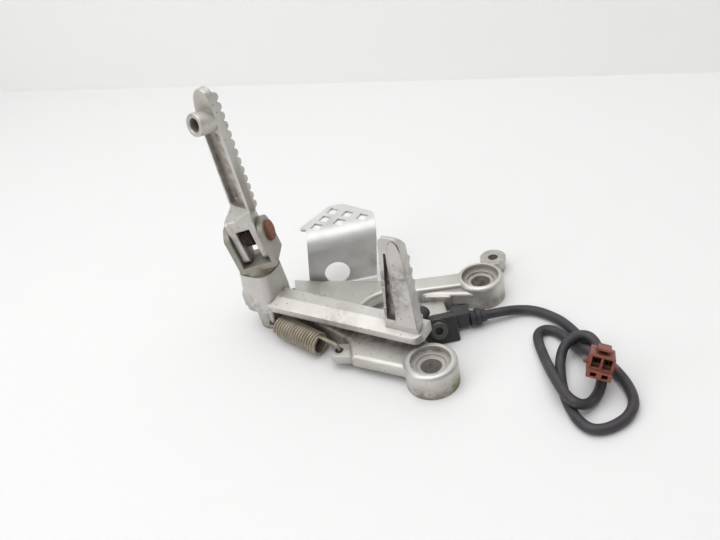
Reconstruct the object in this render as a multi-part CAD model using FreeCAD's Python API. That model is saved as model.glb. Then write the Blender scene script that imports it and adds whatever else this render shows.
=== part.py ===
"""Right-hand rider's footrest hanger of a motorcycle, with brake pedal and brake light switch.

Millimetres. +Z runs outboard along the frame bolts and the mounting faces lie at Z = 0.
The origin is on the lower frame bolt's axis, at its mounting face.
"""
import FreeCAD, Part
import math
import os

V = FreeCAD.Vector
UP = V(0, 0, 1)

# Fits and gaps
RUNNING = 0.05
SIDE_GAP = 0.35
BOLT_SLACK = 0.25

# Hanger casting
BOSS_HEIGHT = 14.0
BOLT_HOLE_D = 10.5
COUNTERBORE_D = 20.0
COUNTERBORE_DEPTH = 3.0
STEP_D = 15.0
STEP_DEPTH = 1.2
LOWER_BOSS_D = 26.6
UPPER_BOSS_D = 25.2
UPPER_BOSS = V(39.0, 57.5, 0)
BOSS_EDGE = 2.2
PLATE_BOTTOM = 4.5
PLATE_TOP = 11.0
PLATE_EDGE = 2.2
PIVOT = V(-77.0, 75.0, 0)
PIVOT_BOSS_D = 16.0
PIVOT_SEAT = 13.0
HEAD_RECESS_D = 12.0
HEAD_SEAT = 9.8
LUG = V(-43.0, 26.0, 0)
LUG_D = 9.6
LUG_THICK = 5.0
LUG_HOLE_D = 4.4
LUG_ROOT = V(-30.0, 22.0, 0)
TAB = V(51.4, 78.8, 0)
TAB_D = 13.4
TAB_NECK = 9.6
TAB_THICK = 4.4
TAB_BOTTOM = 2.0
SPINE_END = V(1.0, 62.6, 0)
SPINE_WIDTH = 11.6
SPINE_TOP = 13.4
SPINE_EDGE = 1.8
PAD_ENDS = (V(8.0, 56.4, 0), V(21.2, 51.7, 0))
PAD_DEPTH = 5.4
PAD_BOTTOM = 2.0
PAD_TOP = 10.2
PAD_EDGE = 1.2
SWITCH_LUG_WIDTH = 12.0
SWITCH_LUG_TOP = 6.6
SWITCH_LUG_BACK = 53.0
SHOULDER_X = (-62.0, -42.0)
SHOULDER_TOP = 15.3
SHOULDER_NEAR = 73.0

# Collar pressed in the tab
COLLAR_HOLE_D = 5.4
COLLAR_BODY_D = 8.0
COLLAR_FLANGE_D = 14.6
COLLAR_FLANGE_THICK = 2.0

# Footrest clevis, on the pivot axis
NECK_TOP = 37.2
SHAFT_D = 12.0
SHAFT_FOOT_D = 9.0
WASHER_THICK = 0.8
WASHER_D = 18.0
CLEVIS_COLLAR_D = 18.0
PIN_CENTRE = V(-77.5, 75.0, 58.0)
PIN_AZIMUTH = -9.4
PIN_SLOPE = 10.0
EAR_GAP = 16.0
EAR_THICK = 2.9
EAR_R = 8.6
EAR_DROP = 17.4
WEB_THICK = 3.2
PIN_D = 8.0
PIN_HEAD_D = 11.0
PIN_HEAD_THICK = 2.2
CLIP_THICK = 1.0

# Clevis bolt
BOLT_D = 5.0
BOLT_HEAD_AF = 8.0
BOLT_HEAD_THICK = 3.5
BOLT_WASHER_D = 11.0
BOLT_WASHER_THICK = 1.2
BOLT_LENGTH = 20.0

# Folding footpeg
PEG_TREAD_AZIMUTH = 44.0
PEG_CANT = 2.5
PEG_LENGTH = 85.0
PEG_WIDTH = 15.5
PEG_DEPTH = 4.8
PEG_CORNER = 1.0
PEG_TIP_R = 12.0
PEG_TIP_EDGE = 2.0
PEG_ROOT_Z = 13.5
PEG_BAR_Z = 12.0
TOOTH_PITCH = 4.9
TOOTH_R = 2.4
FIRST_TOOTH = 16.5
TOOTH_FROM_TIP = 3.5
TOOTH_INSET = 0.8
HOLLOW_RIM = 1.6
HOLLOW_DEPTH = 2.8
HOLLOW_START = 19.0
HOLLOW_FROM_TIP = 25.0
FEELER_FROM_TIP = 18.0
FEELER_BOSS_D = 11.5
FEELER_REACH = 9.0
FEELER_HOLE_D = 6.8
FEELER_DEPTH = 11.0
FEELER_TILT = 13.0
ROOT_DEPTH = 12.0
ROOT_DROP = 13.4
WINDOW_WIDTH = 7.4
WINDOW_TOP = 6.2

# Return spring of the footpeg
PEG_SPRING_WIRE = 1.2
PEG_SPRING_TURNS = 4

# Brake pedal; along is measured from the pivot towards the toe, across towards the tread
PEDAL_AZIMUTH = -36.1
PEDAL_BORE_D = 14.0
NECK_FOOT = 22.0
NECK_HEAD = 19.5
ARM_BOTTOM = 16.5
ARM_THICK = 7.0
ARM_SIDE = 3.6
ARM_NEAR = -10.8
ARM_FAR = 4.0
ARM_END_FAR = 2.5
ARM_START = -12.5
ARM_CORNER = 7.0
ARM_END = 99.5
ARM_END_CORNER = 5.0
TIP_TOP = 77.0
TIP_NEAR = -8.2
TIP_FAR = -2.4
TIP_SLOPE = 8.0
TIP_BASE = (79.5, 98.4)
TIP_HEAD = (84.3, 95.0)
TIP_TEETH = 6
TIP_TOOTH_R = 2.2
TIP_TOOTH_RISE = 1.4
TIP_TOOTH_PITCH = 7.0
TIP_FIRST_TOOTH = 28.0
RIM = 1.8
GROOVE_WIDTH = 5.2
GROOVE_HEAD = 1.2
GROOVE_DEPTH = 2.6
GROOVE_FOOT = 4.0
GROOVE_STOP = 9.0
SIDE_GROOVE_WIDTH = 2.6
SIDE_GROOVE_DEPTH = 1.5
POCKET_START = 8.4
POCKET_END = 5.4
POCKET_PEAK = 10.4
POCKET_FOOT = 1.2
POCKET_HEIGHT = 6.4
POST_D = 3.8
POST_ALONG = 8.5
POST_ACROSS = -9.6
TANG_ALONG = 88.0
TANG_WIDTH = 8.0
TANG_HALF = 2.0

# Pedal return spring
SPRING_OD = 12.6
SPRING_WIRE = 2.0
SPRING_TURNS = 16
SPRING_Z = 7.3

# Heel guard
GUARD_SHEET = 1.5
GUARD_Y = 90.0
GUARD_LEFT = -55.5
GUARD_WIDTH = 39.8
GUARD_LEAN = 8.6
GUARD_BEND_R = 9.0
GUARD_TOP = 39.0
GUARD_FOOT = 24.0
GUARD_FOOT_R = 2.0
GUARD_HOLE_D = 14.5
GUARD_HOLE_X = -37.0
GUARD_HOLE_Z = 12.5
SQUARE_HOLE = 5.6
SQUARE_PITCH = 10.3
SQUARE_ROW = 8.5
SQUARE_TURN = -39.0
SQUARE_CORNER = V(-32.6, 114.4, 0)
FLANGE_TIP = 120.8
FLANGE_EAR = 4.5
FLANGE_TIP_X = (-26.0, -34.5)
GUARD_SCREWS = (V(-43.0, 74.5, 0), V(-27.0, 73.0, 0))
GUARD_SCREW_D = 5.0
GUARD_SCREW_HEAD_D = 9.4
GUARD_SCREW_HEAD = 2.4

# Brake light switch
SWITCH_TILT = 25.0
SWITCH_FOOT = V(10.5, 24.4, 0.6)
SWITCH_WIDTH = 18.0
SWITCH_HEIGHT = 17.0
SWITCH_DEPTH = 10.0
SWITCH_SCREW_D = 4.0
SWITCH_SCREW_GRIP = 4.2
SWITCH_SCREW_HEAD_D = 9.0
SWITCH_SCREW_HEAD = 3.4
SWITCH_WASHER_D = 11.0
SWITCH_WASHER = 1.0
SCREW_SOCKET_AF = 4.0
SWITCH_SCREW_AT = (-1.5, 8.0)
PLUNGER_D = 4.0
PLUNGER_REACH = 6.0

# Lead
LEAD_D = 5.0
BOOT_LENGTH = 8.4
OUTLET_SIZE = (10.0, 12.0, 11.5)
LEAD_ROUTE = [
    (35.5, 34.0, 5.4), (43.5, 34.0, 5.4), (53.0, 35.6, 3.2), (62.5, 32.2, 2.6), (70.0, 24.0, 2.6),
    (74.8, 13.0, 2.6), (77.3, 1.5, 2.6), (79.6, -10.0, 2.6), (82.8, -21.5, 2.6), (85.0, -33.0, 2.6),
    (83.0, -44.0, 2.6), (75.5, -52.0, 2.6), (65.5, -54.5, 2.6), (57.5, -49.0, 2.6), (54.8, -39.0, 2.6),
    (55.8, -27.0, 2.6), (58.0, -15.0, 2.7), (61.0, -4.0, 4.8), (65.5, 4.8, 8.4), (71.1, 9.9, 8.8),
    (77.9, 9.9, 8.8), (83.2, 5.5, 8.8), (84.3, -1.2, 8.8), (81.5, -8.2, 8.6), (77.8, -15.8, 6.8),
    (75.0, -24.0, 2.8), (72.2, -32.4, 2.6), (68.1, -37.4, 3.2), (61.8, -39.0, 6.4), (55.8, -36.5, 8.2),
    (52.3, -31.0, 8.2), (50.5, -22.5, 4.8), (49.6, -11.5, 2.6), (49.5, -1.0, 2.6), (50.0, 9.5, 2.6),
    (52.3, 16.0, 2.6), (58.0, 19.4, 2.6), (64.6, 18.3, 2.6), (69.0, 12.8, 2.6), (70.3, 4.8, 3.2),
    (71.4, -3.6, 7.6), (72.7, -11.1, 12.9), (74.6, -18.8, 13.6)]

# Two-way connector at the lead's end
CONNECTOR_WIDTH = 15.0
CONNECTOR_LENGTH = 17.0
CONNECTOR_HEIGHT = 9.6
CONNECTOR_WALL = 1.4
CONNECTOR_LATCH = 2.6
CONNECTOR_YAW = -76.0
CAVITY_DEPTH = 11.0
TERMINAL = 2.4
TERMINAL_LENGTH = 5.5
TERMINAL_WALL = 0.5
LATCH_WIDTH = 5.0
LATCH_THICK = 1.2
LATCH_START = 3.0
LATCH_ROOT = 2.5


def cylinder(diameter, height, base, axis=UP):
    """Round bar from base along axis."""
    return Part.makeCylinder(diameter / 2, height, base, axis)


def outline(corners, z):
    """Closed wire through (x, y, corner radius) points, each corner rounded by its radius."""
    count = len(corners)
    entries = []
    for i in range(count):
        here = V(corners[i][0], corners[i][1], z)
        before = V(corners[i - 1][0], corners[i - 1][1], z) - here
        after = V(corners[(i + 1) % count][0], corners[(i + 1) % count][1], z) - here
        half = before.getAngle(after) / 2
        reach = corners[i][2] / math.tan(half)
        before.normalize()
        after.normalize()
        middle = before + after
        middle.normalize()
        centre = here + middle * (corners[i][2] / math.sin(half))
        entries.append((here + before * reach, centre - middle * corners[i][2], here + after * reach))
    edges = []
    for i in range(count):
        edges.append(Part.Arc(*entries[i]).toShape())
        edges.append(Part.LineSegment(entries[i][2], entries[(i + 1) % count][0]).toShape())
    return Part.Wire(edges)


def plate(corners, bottom, top):
    """Flat plate of a rounded outline."""
    return Part.Face(outline(corners, bottom)).extrude(V(0, 0, top - bottom))


def block(length, width, height, corner, bottom=0.0):
    """Block centred on X and Y with rounded upright edges."""
    x = length / 2
    y = width / 2
    return plate([(-x, -y, corner), (x, -y, corner), (x, y, corner), (-x, y, corner)], bottom, bottom + height)


def edges_at(shape, z):
    """Edges that lie wholly at height z."""
    return [e for e in shape.Edges if abs(e.BoundBox.ZMin - z) < 1e-4 and abs(e.BoundBox.ZMax - z) < 1e-4]


def placed(shape, base, *turns):
    """Copy of a shape turned by (axis, degrees) steps, the first one first, then moved to base."""
    rotation = FreeCAD.Rotation()
    for axis, degrees in turns:
        rotation = FreeCAD.Rotation(axis, degrees) * rotation
    result = shape.copy()
    result.Placement = FreeCAD.Placement(base, rotation) * result.Placement
    return result


def on_pin(shape):
    """Place a shape drawn with X along the footpeg's pin and Z away from the clevis web."""
    return placed(shape, PIN_CENTRE, (V(0, 1, 0), -PIN_SLOPE), (UP, PIN_AZIMUTH))


def on_pedal(shape):
    """Place a shape drawn with X along the pedal arm and Y towards the tread."""
    return placed(shape, PIVOT, (UP, PEDAL_AZIMUTH))


def pedal_point(along, across, z):
    """Point of the pedal at rest."""
    turned = FreeCAD.Rotation(UP, PEDAL_AZIMUTH).multVec(V(along, across, z))
    return PIVOT + turned


def on_switch(shape):
    """Place a shape drawn with Z out of the switch's face and Y up along it."""
    return placed(shape, SWITCH_FOOT, (V(1, 0, 0), 90 - SWITCH_TILT))


def link(start, end, width, bottom, top):
    """Straight bar between two points of the plan."""
    run = end - start
    bar = Part.makeBox(run.Length, width, top - bottom, V(0, -width / 2, bottom))
    return placed(bar, V(start.x, start.y, 0), (UP, math.degrees(math.atan2(run.y, run.x))))


def frame_boss(centre, diameter):
    """Frame bolt boss with a softened rim."""
    boss = cylinder(diameter, BOSS_HEIGHT, centre)
    return boss.makeFillet(BOSS_EDGE, edges_at(boss, BOSS_HEIGHT))


def bolt_hole(centre):
    """Bolt hole with its step ring and counterbore."""
    hole = cylinder(BOLT_HOLE_D, BOSS_HEIGHT, centre)
    floor = BOSS_HEIGHT - COUNTERBORE_DEPTH
    hole = hole.fuse(cylinder(COUNTERBORE_D, COUNTERBORE_DEPTH, centre + UP * floor))
    return hole.fuse(cylinder(STEP_D, STEP_DEPTH, centre + UP * (floor - STEP_DEPTH)))


def hanger_casting():
    """Forked cast plate with the frame bosses, the pivot seat and the lugs."""
    lower = V(0, 0, 0)
    far_edge = GUARD_Y - GUARD_FOOT_R - SIDE_GAP
    corners = [
        (-85, 69, 5), (-68, 69, 5), (-45, 41, 8), (-37.5, 31, 5), (-38, 18, 4), (-14, 2, 10), (-6, -6, 1), (9, 8, 1),
        (-2, 22.5, 7), (-31, 23.5, 19.5), (-31, 64.5, 19.5), (-3, 64.5, 6), (7, 55, 5), (22, 49.8, 7), (33, 46, 1),
        (36, 67, 1), (27, 68.5, 5), (12, 66.5, 12), (-43, far_edge, 10), (-64, far_edge, 3), (-86, 86, 6)]
    body = plate(corners, PLATE_BOTTOM, PLATE_TOP)
    body = body.makeFillet(PLATE_EDGE, edges_at(body, PLATE_TOP))
    pieces = [
        frame_boss(lower, LOWER_BOSS_D), frame_boss(UPPER_BOSS, UPPER_BOSS_D),
        cylinder(PIVOT_BOSS_D, PIVOT_SEAT, PIVOT),
        cylinder(LUG_D, LUG_THICK, LUG + UP * PLATE_BOTTOM),
        link(LUG, LUG_ROOT, LUG_D, PLATE_BOTTOM, PLATE_BOTTOM + LUG_THICK),
        cylinder(TAB_D, TAB_THICK, TAB + UP * TAB_BOTTOM),
        link(TAB, UPPER_BOSS, TAB_NECK, TAB_BOTTOM, TAB_BOTTOM + TAB_THICK)]
    spine = link(UPPER_BOSS, SPINE_END, SPINE_WIDTH, PLATE_BOTTOM, SPINE_TOP)
    pieces.append(spine.makeFillet(SPINE_EDGE, edges_at(spine, SPINE_TOP)))
    pad = link(*PAD_ENDS, PAD_DEPTH, PAD_BOTTOM, PAD_TOP)
    pieces.append(pad.makeFillet(PAD_EDGE, edges_at(pad, PAD_TOP)))
    left, right = SHOULDER_X
    shoulder = Part.Face(Part.makePolygon([
        V(left, SHOULDER_NEAR, PLATE_BOTTOM), V(left, SHOULDER_NEAR, SHOULDER_TOP),
        V(right, SHOULDER_NEAR, PLATE_TOP - PLATE_EDGE), V(right, SHOULDER_NEAR, PLATE_BOTTOM),
        V(left, SHOULDER_NEAR, PLATE_BOTTOM)])).extrude(V(0, far_edge - SHOULDER_NEAR, 0))
    pieces.append(shoulder)
    back = SWITCH_DEPTH / math.cos(math.radians(SWITCH_TILT)) - SWITCH_DEPTH
    lug_near = SWITCH_FOOT.y + back
    switch_lug = Part.makeBox(SWITCH_LUG_WIDTH, SWITCH_LUG_BACK - lug_near, SWITCH_LUG_TOP,
                              V(SWITCH_FOOT.x - SWITCH_LUG_WIDTH / 2, lug_near, 0))
    room = 4 * SWITCH_WIDTH
    front = Part.makeBox(room, room, room, V(-room / 2, -room / 2, -SWITCH_DEPTH))
    pieces.append(switch_lug.cut(on_switch(front)))
    body = body.multiFuse(pieces).removeSplitter()
    cuts = [
        bolt_hole(lower), bolt_hole(UPPER_BOSS),
        cylinder(SHAFT_FOOT_D + 2 * RUNNING, PIVOT_SEAT, PIVOT),
        cylinder(HEAD_RECESS_D, HEAD_SEAT, PIVOT),
        cylinder(LUG_HOLE_D, BOSS_HEIGHT, LUG),
        cylinder(COLLAR_BODY_D, BOSS_HEIGHT, TAB),
        on_switch(cylinder(SWITCH_SCREW_D, SWITCH_SCREW_GRIP,
                           V(*SWITCH_SCREW_AT, -SWITCH_DEPTH - SWITCH_SCREW_GRIP)))]
    cuts += [cylinder(GUARD_SCREW_D, PLATE_TOP - 2 - PLATE_BOTTOM, p + UP * PLATE_BOTTOM) for p in GUARD_SCREWS]
    for cut in cuts:
        body = body.cut(cut)
    return body


def tab_collar():
    """Flanged steel collar in the tab."""
    top = TAB_BOTTOM + TAB_THICK
    collar = cylinder(COLLAR_BODY_D, TAB_THICK, TAB + UP * TAB_BOTTOM)
    collar = collar.fuse(cylinder(COLLAR_FLANGE_D, COLLAR_FLANGE_THICK, TAB + UP * top))
    return collar.cut(cylinder(COLLAR_HOLE_D, BOSS_HEIGHT, TAB))


def peg_clevis():
    """Forged U-bracket that carries the footpeg, with the shaft that the pedal turns on."""
    outer = EAR_GAP + 2 * EAR_THICK
    u = Part.makeBox(outer, 2 * EAR_R, EAR_DROP, V(-outer / 2, -EAR_R, -EAR_DROP))
    u = u.fuse(cylinder(2 * EAR_R, outer, V(-outer / 2, 0, 0), V(1, 0, 0)))
    inside = Part.makeBox(EAR_GAP, 4 * EAR_R, 2 * EAR_DROP, V(-EAR_GAP / 2, -2 * EAR_R, WEB_THICK - EAR_DROP))
    u = u.cut(inside).removeSplitter()
    lower = [e for e in edges_at(u, -EAR_DROP) if e.BoundBox.XLength < 0.1]
    u = u.makeFillet(WEB_THICK * 0.7, lower)
    u = u.cut(cylinder(PIN_D + 2 * RUNNING, 2 * outer, V(-outer, 0, 0), V(1, 0, 0)))
    base = NECK_TOP + WASHER_THICK + RUNNING
    collar = cylinder(CLEVIS_COLLAR_D, PIN_CENTRE.z - EAR_DROP + 2 - base, PIVOT + UP * base)
    shaft = cylinder(SHAFT_D, base - PIVOT_SEAT, PIVOT + UP * PIVOT_SEAT)
    foot = cylinder(SHAFT_FOOT_D, PIVOT_SEAT - HEAD_SEAT, PIVOT + UP * HEAD_SEAT)
    body = on_pin(u).multiFuse([collar, shaft, foot]).removeSplitter()
    return body.cut(cylinder(BOLT_D, BOLT_LENGTH, PIVOT + UP * HEAD_SEAT))


def clevis_washer():
    """Plain washer under the clevis bolt's head."""
    bottom = PIVOT + UP * (HEAD_SEAT - BOLT_WASHER_THICK)
    washer = cylinder(BOLT_WASHER_D, BOLT_WASHER_THICK, bottom)
    return washer.cut(cylinder(BOLT_D + 2 * BOLT_SLACK, BOLT_WASHER_THICK, bottom))


def hexagon(across_flats, height, base):
    """Upright hexagonal prism."""
    r = across_flats / math.sqrt(3)
    points = [base + V(r * math.cos(math.radians(60 * i)), r * math.sin(math.radians(60 * i)), 0) for i in range(7)]
    return Part.Face(Part.makePolygon(points)).extrude(UP * height)


def clevis_bolt():
    """Hexagon bolt that holds the clevis shaft from the inboard side."""
    under = HEAD_SEAT - BOLT_WASHER_THICK
    head = hexagon(BOLT_HEAD_AF, BOLT_HEAD_THICK, PIVOT + UP * (under - BOLT_HEAD_THICK))
    return head.fuse(cylinder(BOLT_D, BOLT_LENGTH + BOLT_WASHER_THICK - 1, PIVOT + UP * under))


def pedal_washers():
    """Two thrust washers, one under the pedal's hub and one on top of it."""
    rings = []
    for z in (PIVOT_SEAT, NECK_TOP + RUNNING):
        ring = cylinder(WASHER_D, WASHER_THICK, PIVOT + UP * z)
        rings.append(ring.cut(cylinder(SHAFT_D + 2 * RUNNING, WASHER_THICK, PIVOT + UP * z)))
    return Part.makeCompound(rings)


def square_wire(size, corner, z):
    """Rounded square about the pedal's pivot."""
    half = size / 2
    return outline([(-half, -half, corner), (half, -half, corner), (half, half, corner), (-half, half, corner)], z)


def arm_section(along, far):
    """Section of the pedal arm: upright near side, sloped near top, flat far top."""
    top = ARM_BOTTOM + ARM_THICK
    points = [(ARM_NEAR, ARM_BOTTOM), (far, ARM_BOTTOM), (far, top - 1), (far - 1, top),
              (ARM_NEAR + 6, top), (ARM_NEAR, ARM_BOTTOM + ARM_SIDE), (ARM_NEAR, ARM_BOTTOM)]
    return Part.makePolygon([V(along, y, z) for y, z in points])


def brake_pedal():
    """Cast pedal: tall hub, flat arm, upright toe piece with a toothed tread, switch tang and spring post."""
    foot = PIVOT_SEAT + WASHER_THICK + RUNNING
    shoulder = ARM_BOTTOM + ARM_THICK
    hub = Part.Face(square_wire(NECK_FOOT, 7, foot)).extrude(UP * (shoulder - foot))
    neck = Part.makeLoft([square_wire(NECK_FOOT, 7, shoulder), square_wire(NECK_HEAD, 6, NECK_TOP)], True)
    arm = Part.makeLoft([arm_section(ARM_START, ARM_FAR), arm_section(ARM_END, ARM_END_FAR)], True, True)
    arm = arm.common(plate([(ARM_START, ARM_NEAR, ARM_CORNER), (ARM_END, ARM_NEAR, ARM_END_CORNER),
                            (ARM_END, ARM_FAR, 1), (ARM_START, ARM_FAR, 3)], ARM_BOTTOM, shoulder))
    upright = (V(1, 0, 0), 90)
    toe = plate([(TIP_BASE[0], ARM_BOTTOM + 1, 1), (TIP_BASE[1], ARM_BOTTOM + 1, 1),
                 (TIP_HEAD[1], TIP_TOP, 4), (TIP_HEAD[0], TIP_TOP, 4)], -TIP_FAR, -TIP_NEAR)
    toe = placed(toe, V(0, 0, 0), upright)
    bevel = Part.Face(Part.makePolygon([
        V(0, TIP_NEAR + RIM, TIP_TOP), V(0, TIP_FAR + RIM, TIP_TOP - TIP_SLOPE), V(0, TIP_FAR + RIM, TIP_TOP + RIM),
        V(0, TIP_NEAR + RIM, TIP_TOP + RIM), V(0, TIP_NEAR + RIM, TIP_TOP)])).extrude(V(2 * ARM_END, 0, 0))
    pieces = [neck, arm, toe.cut(bevel)]
    for i in range(TIP_TEETH):
        z = TIP_FIRST_TOOTH + i * TIP_TOOTH_PITCH
        share = (z - ARM_BOTTOM) / (TIP_TOP - ARM_BOTTOM)
        left = TIP_BASE[0] + share * (TIP_HEAD[0] - TIP_BASE[0])
        right = TIP_BASE[1] + share * (TIP_HEAD[1] - TIP_BASE[1])
        middle = V(left, TIP_FAR + TIP_TOOTH_RISE - TIP_TOOTH_R, z)
        pieces.append(cylinder(2 * TIP_TOOTH_R, right - left, middle, V(1, 0, 0)))
    tang_bottom = PLATE_TOP + 1.2
    pieces.append(Part.makeBox(TANG_WIDTH, 2 * TANG_HALF, ARM_BOTTOM + 1 - tang_bottom,
                               V(TANG_ALONG - TANG_WIDTH / 2, -TANG_HALF, tang_bottom)))
    post_bottom = SPRING_Z - SPRING_WIRE
    pieces.append(cylinder(POST_D, ARM_BOTTOM + 1 - post_bottom, V(POST_ALONG, POST_ACROSS, post_bottom)))
    body = hub.multiFuse(pieces).removeSplitter()
    low = shoulder + GROOVE_FOOT
    high = TIP_TOP - GROOVE_STOP
    groove = plate([(TIP_BASE[0] + RIM, low, 1), (TIP_BASE[0] + RIM + GROOVE_WIDTH, low, 1),
                    (TIP_HEAD[0] + RIM + GROOVE_HEAD, high, 0.4), (TIP_HEAD[0] + RIM, high, 0.4)],
                   -TIP_NEAR - GROOVE_DEPTH, -TIP_NEAR + GROOVE_DEPTH)
    side = plate([(TIP_BASE[1] - RIM - SIDE_GROOVE_WIDTH, low, 0.4), (TIP_BASE[1] - RIM, low, 0.4),
                  (TIP_HEAD[1] - RIM, high, 0.3), (TIP_HEAD[1] - RIM - GROOVE_HEAD, high, 0.3)],
                 -TIP_NEAR - SIDE_GROOVE_DEPTH, -TIP_NEAR + SIDE_GROOVE_DEPTH)
    pocket = plate([(TIP_BASE[0] + POCKET_START, shoulder + POCKET_FOOT, 1),
                    (TIP_BASE[1] - POCKET_END, shoulder + POCKET_FOOT, 1),
                    (TIP_BASE[0] + POCKET_PEAK, shoulder + POCKET_HEIGHT, 1)],
                   -TIP_NEAR - GROOVE_DEPTH, -TIP_NEAR + GROOVE_DEPTH)
    for cut in (groove, side, pocket):
        body = body.cut(placed(cut, V(0, 0, 0), upright))
    body = body.cut(cylinder(PEDAL_BORE_D, NECK_TOP, V(0, 0, 0)))
    return on_pedal(body)


def pedal_bush():
    """Bronze bush pressed in the pedal's hub."""
    foot = PIVOT_SEAT + WASHER_THICK + RUNNING
    bush = cylinder(PEDAL_BORE_D, NECK_TOP - foot, PIVOT + UP * foot)
    return bush.cut(cylinder(SHAFT_D + 2 * RUNNING, NECK_TOP, PIVOT))


def footpeg():
    """Folding cast footpeg: root block on the pin, hollow bar, toothed tread and feeler boss."""
    width = EAR_GAP - 2 * SIDE_GAP
    root = block(ROOT_DEPTH, ROOT_DROP + PEG_ROOT_Z, width, 3)
    root = placed(root, V(-width / 2, 0, (PEG_ROOT_Z - ROOT_DROP) / 2), (UP, 90), (V(0, 1, 0), 90))
    root = root.cut(Part.makeBox(WINDOW_WIDTH, 4 * ROOT_DEPTH, ROOT_DROP + WINDOW_TOP,
                                 V(-WINDOW_WIDTH / 2, -2 * ROOT_DEPTH, -ROOT_DROP)))
    root = on_pin(root)
    half = PEG_WIDTH / 2
    bar = plate([(-half, PEG_BAR_Z, PEG_CORNER), (half, PEG_BAR_Z, PEG_CORNER), (half, PEG_LENGTH, PEG_TIP_EDGE),
                 (-half, PEG_LENGTH, PEG_TIP_R)], -PEG_DEPTH / 2, PEG_DEPTH / 2)
    bar = placed(bar, V(0, 0, 0), (V(1, 0, 0), 90))
    tread = PEG_DEPTH / 2
    teeth = []
    for i in range(1 + int((PEG_LENGTH - TOOTH_FROM_TIP - FIRST_TOOTH) / TOOTH_PITCH)):
        z = FIRST_TOOTH + i * TOOTH_PITCH
        past = max(z - PEG_LENGTH + PEG_TIP_R, 0.0)
        left = TOOTH_INSET + PEG_TIP_R - math.sqrt(PEG_TIP_R ** 2 - past ** 2)
        teeth.append(cylinder(2 * TOOTH_R, PEG_WIDTH - left - TOOTH_INSET, V(left - half, tread, z), V(1, 0, 0)))
    tilt = math.radians(FEELER_TILT)
    out = V(0, -math.cos(tilt), math.sin(tilt))
    middle = V(0, 0, PEG_LENGTH - FEELER_FROM_TIP)
    mouth = middle + out * (tread + FEELER_REACH)
    teeth.append(cylinder(FEELER_BOSS_D, FEELER_REACH + tread, middle, out))
    bar = bar.multiFuse(teeth).removeSplitter()
    hollow = block(PEG_WIDTH - 2 * HOLLOW_RIM, 2 * HOLLOW_DEPTH, PEG_LENGTH - HOLLOW_FROM_TIP - HOLLOW_START, 2,
                   HOLLOW_START)
    bar = bar.cut(placed(hollow, V(0, -tread, 0)))
    bar = placed(bar, PIN_CENTRE, (UP, PEG_TREAD_AZIMUTH - 90), (V(0, 1, 0), PEG_CANT))
    hole = cylinder(FEELER_HOLE_D, FEELER_DEPTH, mouth, out * -1)
    hole = placed(hole, PIN_CENTRE, (UP, PEG_TREAD_AZIMUTH - 90), (V(0, 1, 0), PEG_CANT))
    pin_bore = on_pin(cylinder(PIN_D + 2 * RUNNING, 4 * EAR_GAP, V(-2 * EAR_GAP, 0, 0), V(1, 0, 0)))
    return root.fuse(bar).cut(pin_bore).cut(hole).removeSplitter()


def peg_pin():
    """Pivot pin with a flat head at the right ear."""
    outer = EAR_GAP + 2 * EAR_THICK
    left = -outer / 2 - CLIP_THICK - 1.2
    pin = cylinder(PIN_D, outer / 2 - left, V(left, 0, 0), V(1, 0, 0))
    head = cylinder(PIN_HEAD_D, PIN_HEAD_THICK, V(outer / 2, 0, 0), V(1, 0, 0))
    head = head.makeFillet(PIN_HEAD_THICK * 0.4, [e for e in head.Edges if e.BoundBox.XMin > outer / 2 + 1])
    return on_pin(pin.fuse(head).removeSplitter())


def peg_pin_clip():
    """Spring clip on the pin's left end."""
    outer = EAR_GAP + 2 * EAR_THICK
    left = V(-outer / 2 - CLIP_THICK, 0, 0)
    clip = cylinder(PIN_HEAD_D + 1, CLIP_THICK, left, V(1, 0, 0))
    clip = clip.cut(cylinder(PIN_D, CLIP_THICK, left, V(1, 0, 0)))
    return on_pin(clip.cut(Part.makeBox(4, PIN_D * 0.7, 20, left + V(-1, -PIN_D * 0.35, 0))))


def coil(inner_d, wire, turns):
    """Close-wound coil along X from the origin: a tube with one rounded ridge for each turn."""
    inner = inner_d / 2
    edges = [Part.LineSegment(V(turns * wire, inner, 0), V(0, inner, 0)).toShape(),
             Part.LineSegment(V(0, inner, 0), V(0, inner + wire / 2, 0)).toShape()]
    for i in range(turns):
        start = V(i * wire, inner + wire / 2, 0)
        edges.append(Part.Arc(start, start + V(wire / 2, wire / 2, 0), start + V(wire, 0, 0)).toShape())
    edges.append(Part.LineSegment(V(turns * wire, inner + wire / 2, 0), V(turns * wire, inner, 0)).toShape())
    return Part.Face(Part.Wire(edges)).revolve(V(0, 0, 0), V(1, 0, 0), 360)


def rod(start, end, diameter):
    """Round wire between two points, with a ball at its far end for the next bend."""
    run = end - start
    return cylinder(diameter, run.Length, start, run).fuse(Part.makeSphere(diameter / 2, end))


def peg_return_spring():
    """Torsion spring round the pin, inside the footpeg's window, with a leg down to the clevis web."""
    inner = PIN_D + 2 * SIDE_GAP
    half = PEG_SPRING_TURNS * PEG_SPRING_WIRE / 2
    body = coil(inner, PEG_SPRING_WIRE, PEG_SPRING_TURNS)
    body.translate(V(-half, 0, 0))
    leg_y = (inner + PEG_SPRING_WIRE) / 2
    leg_end = WEB_THICK - EAR_DROP + SIDE_GAP
    leg = cylinder(PEG_SPRING_WIRE, -leg_end, V(half - PEG_SPRING_WIRE / 2, leg_y, leg_end))
    return on_pin(body.fuse(leg))


def spring_ends():
    """Centre of the pedal's spring post and the direction from it to the hanger's lug."""
    post = pedal_point(POST_ALONG, POST_ACROSS, SPRING_Z)
    run = V(LUG.x, LUG.y, SPRING_Z) - post
    run.normalize()
    return post, run


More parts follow.
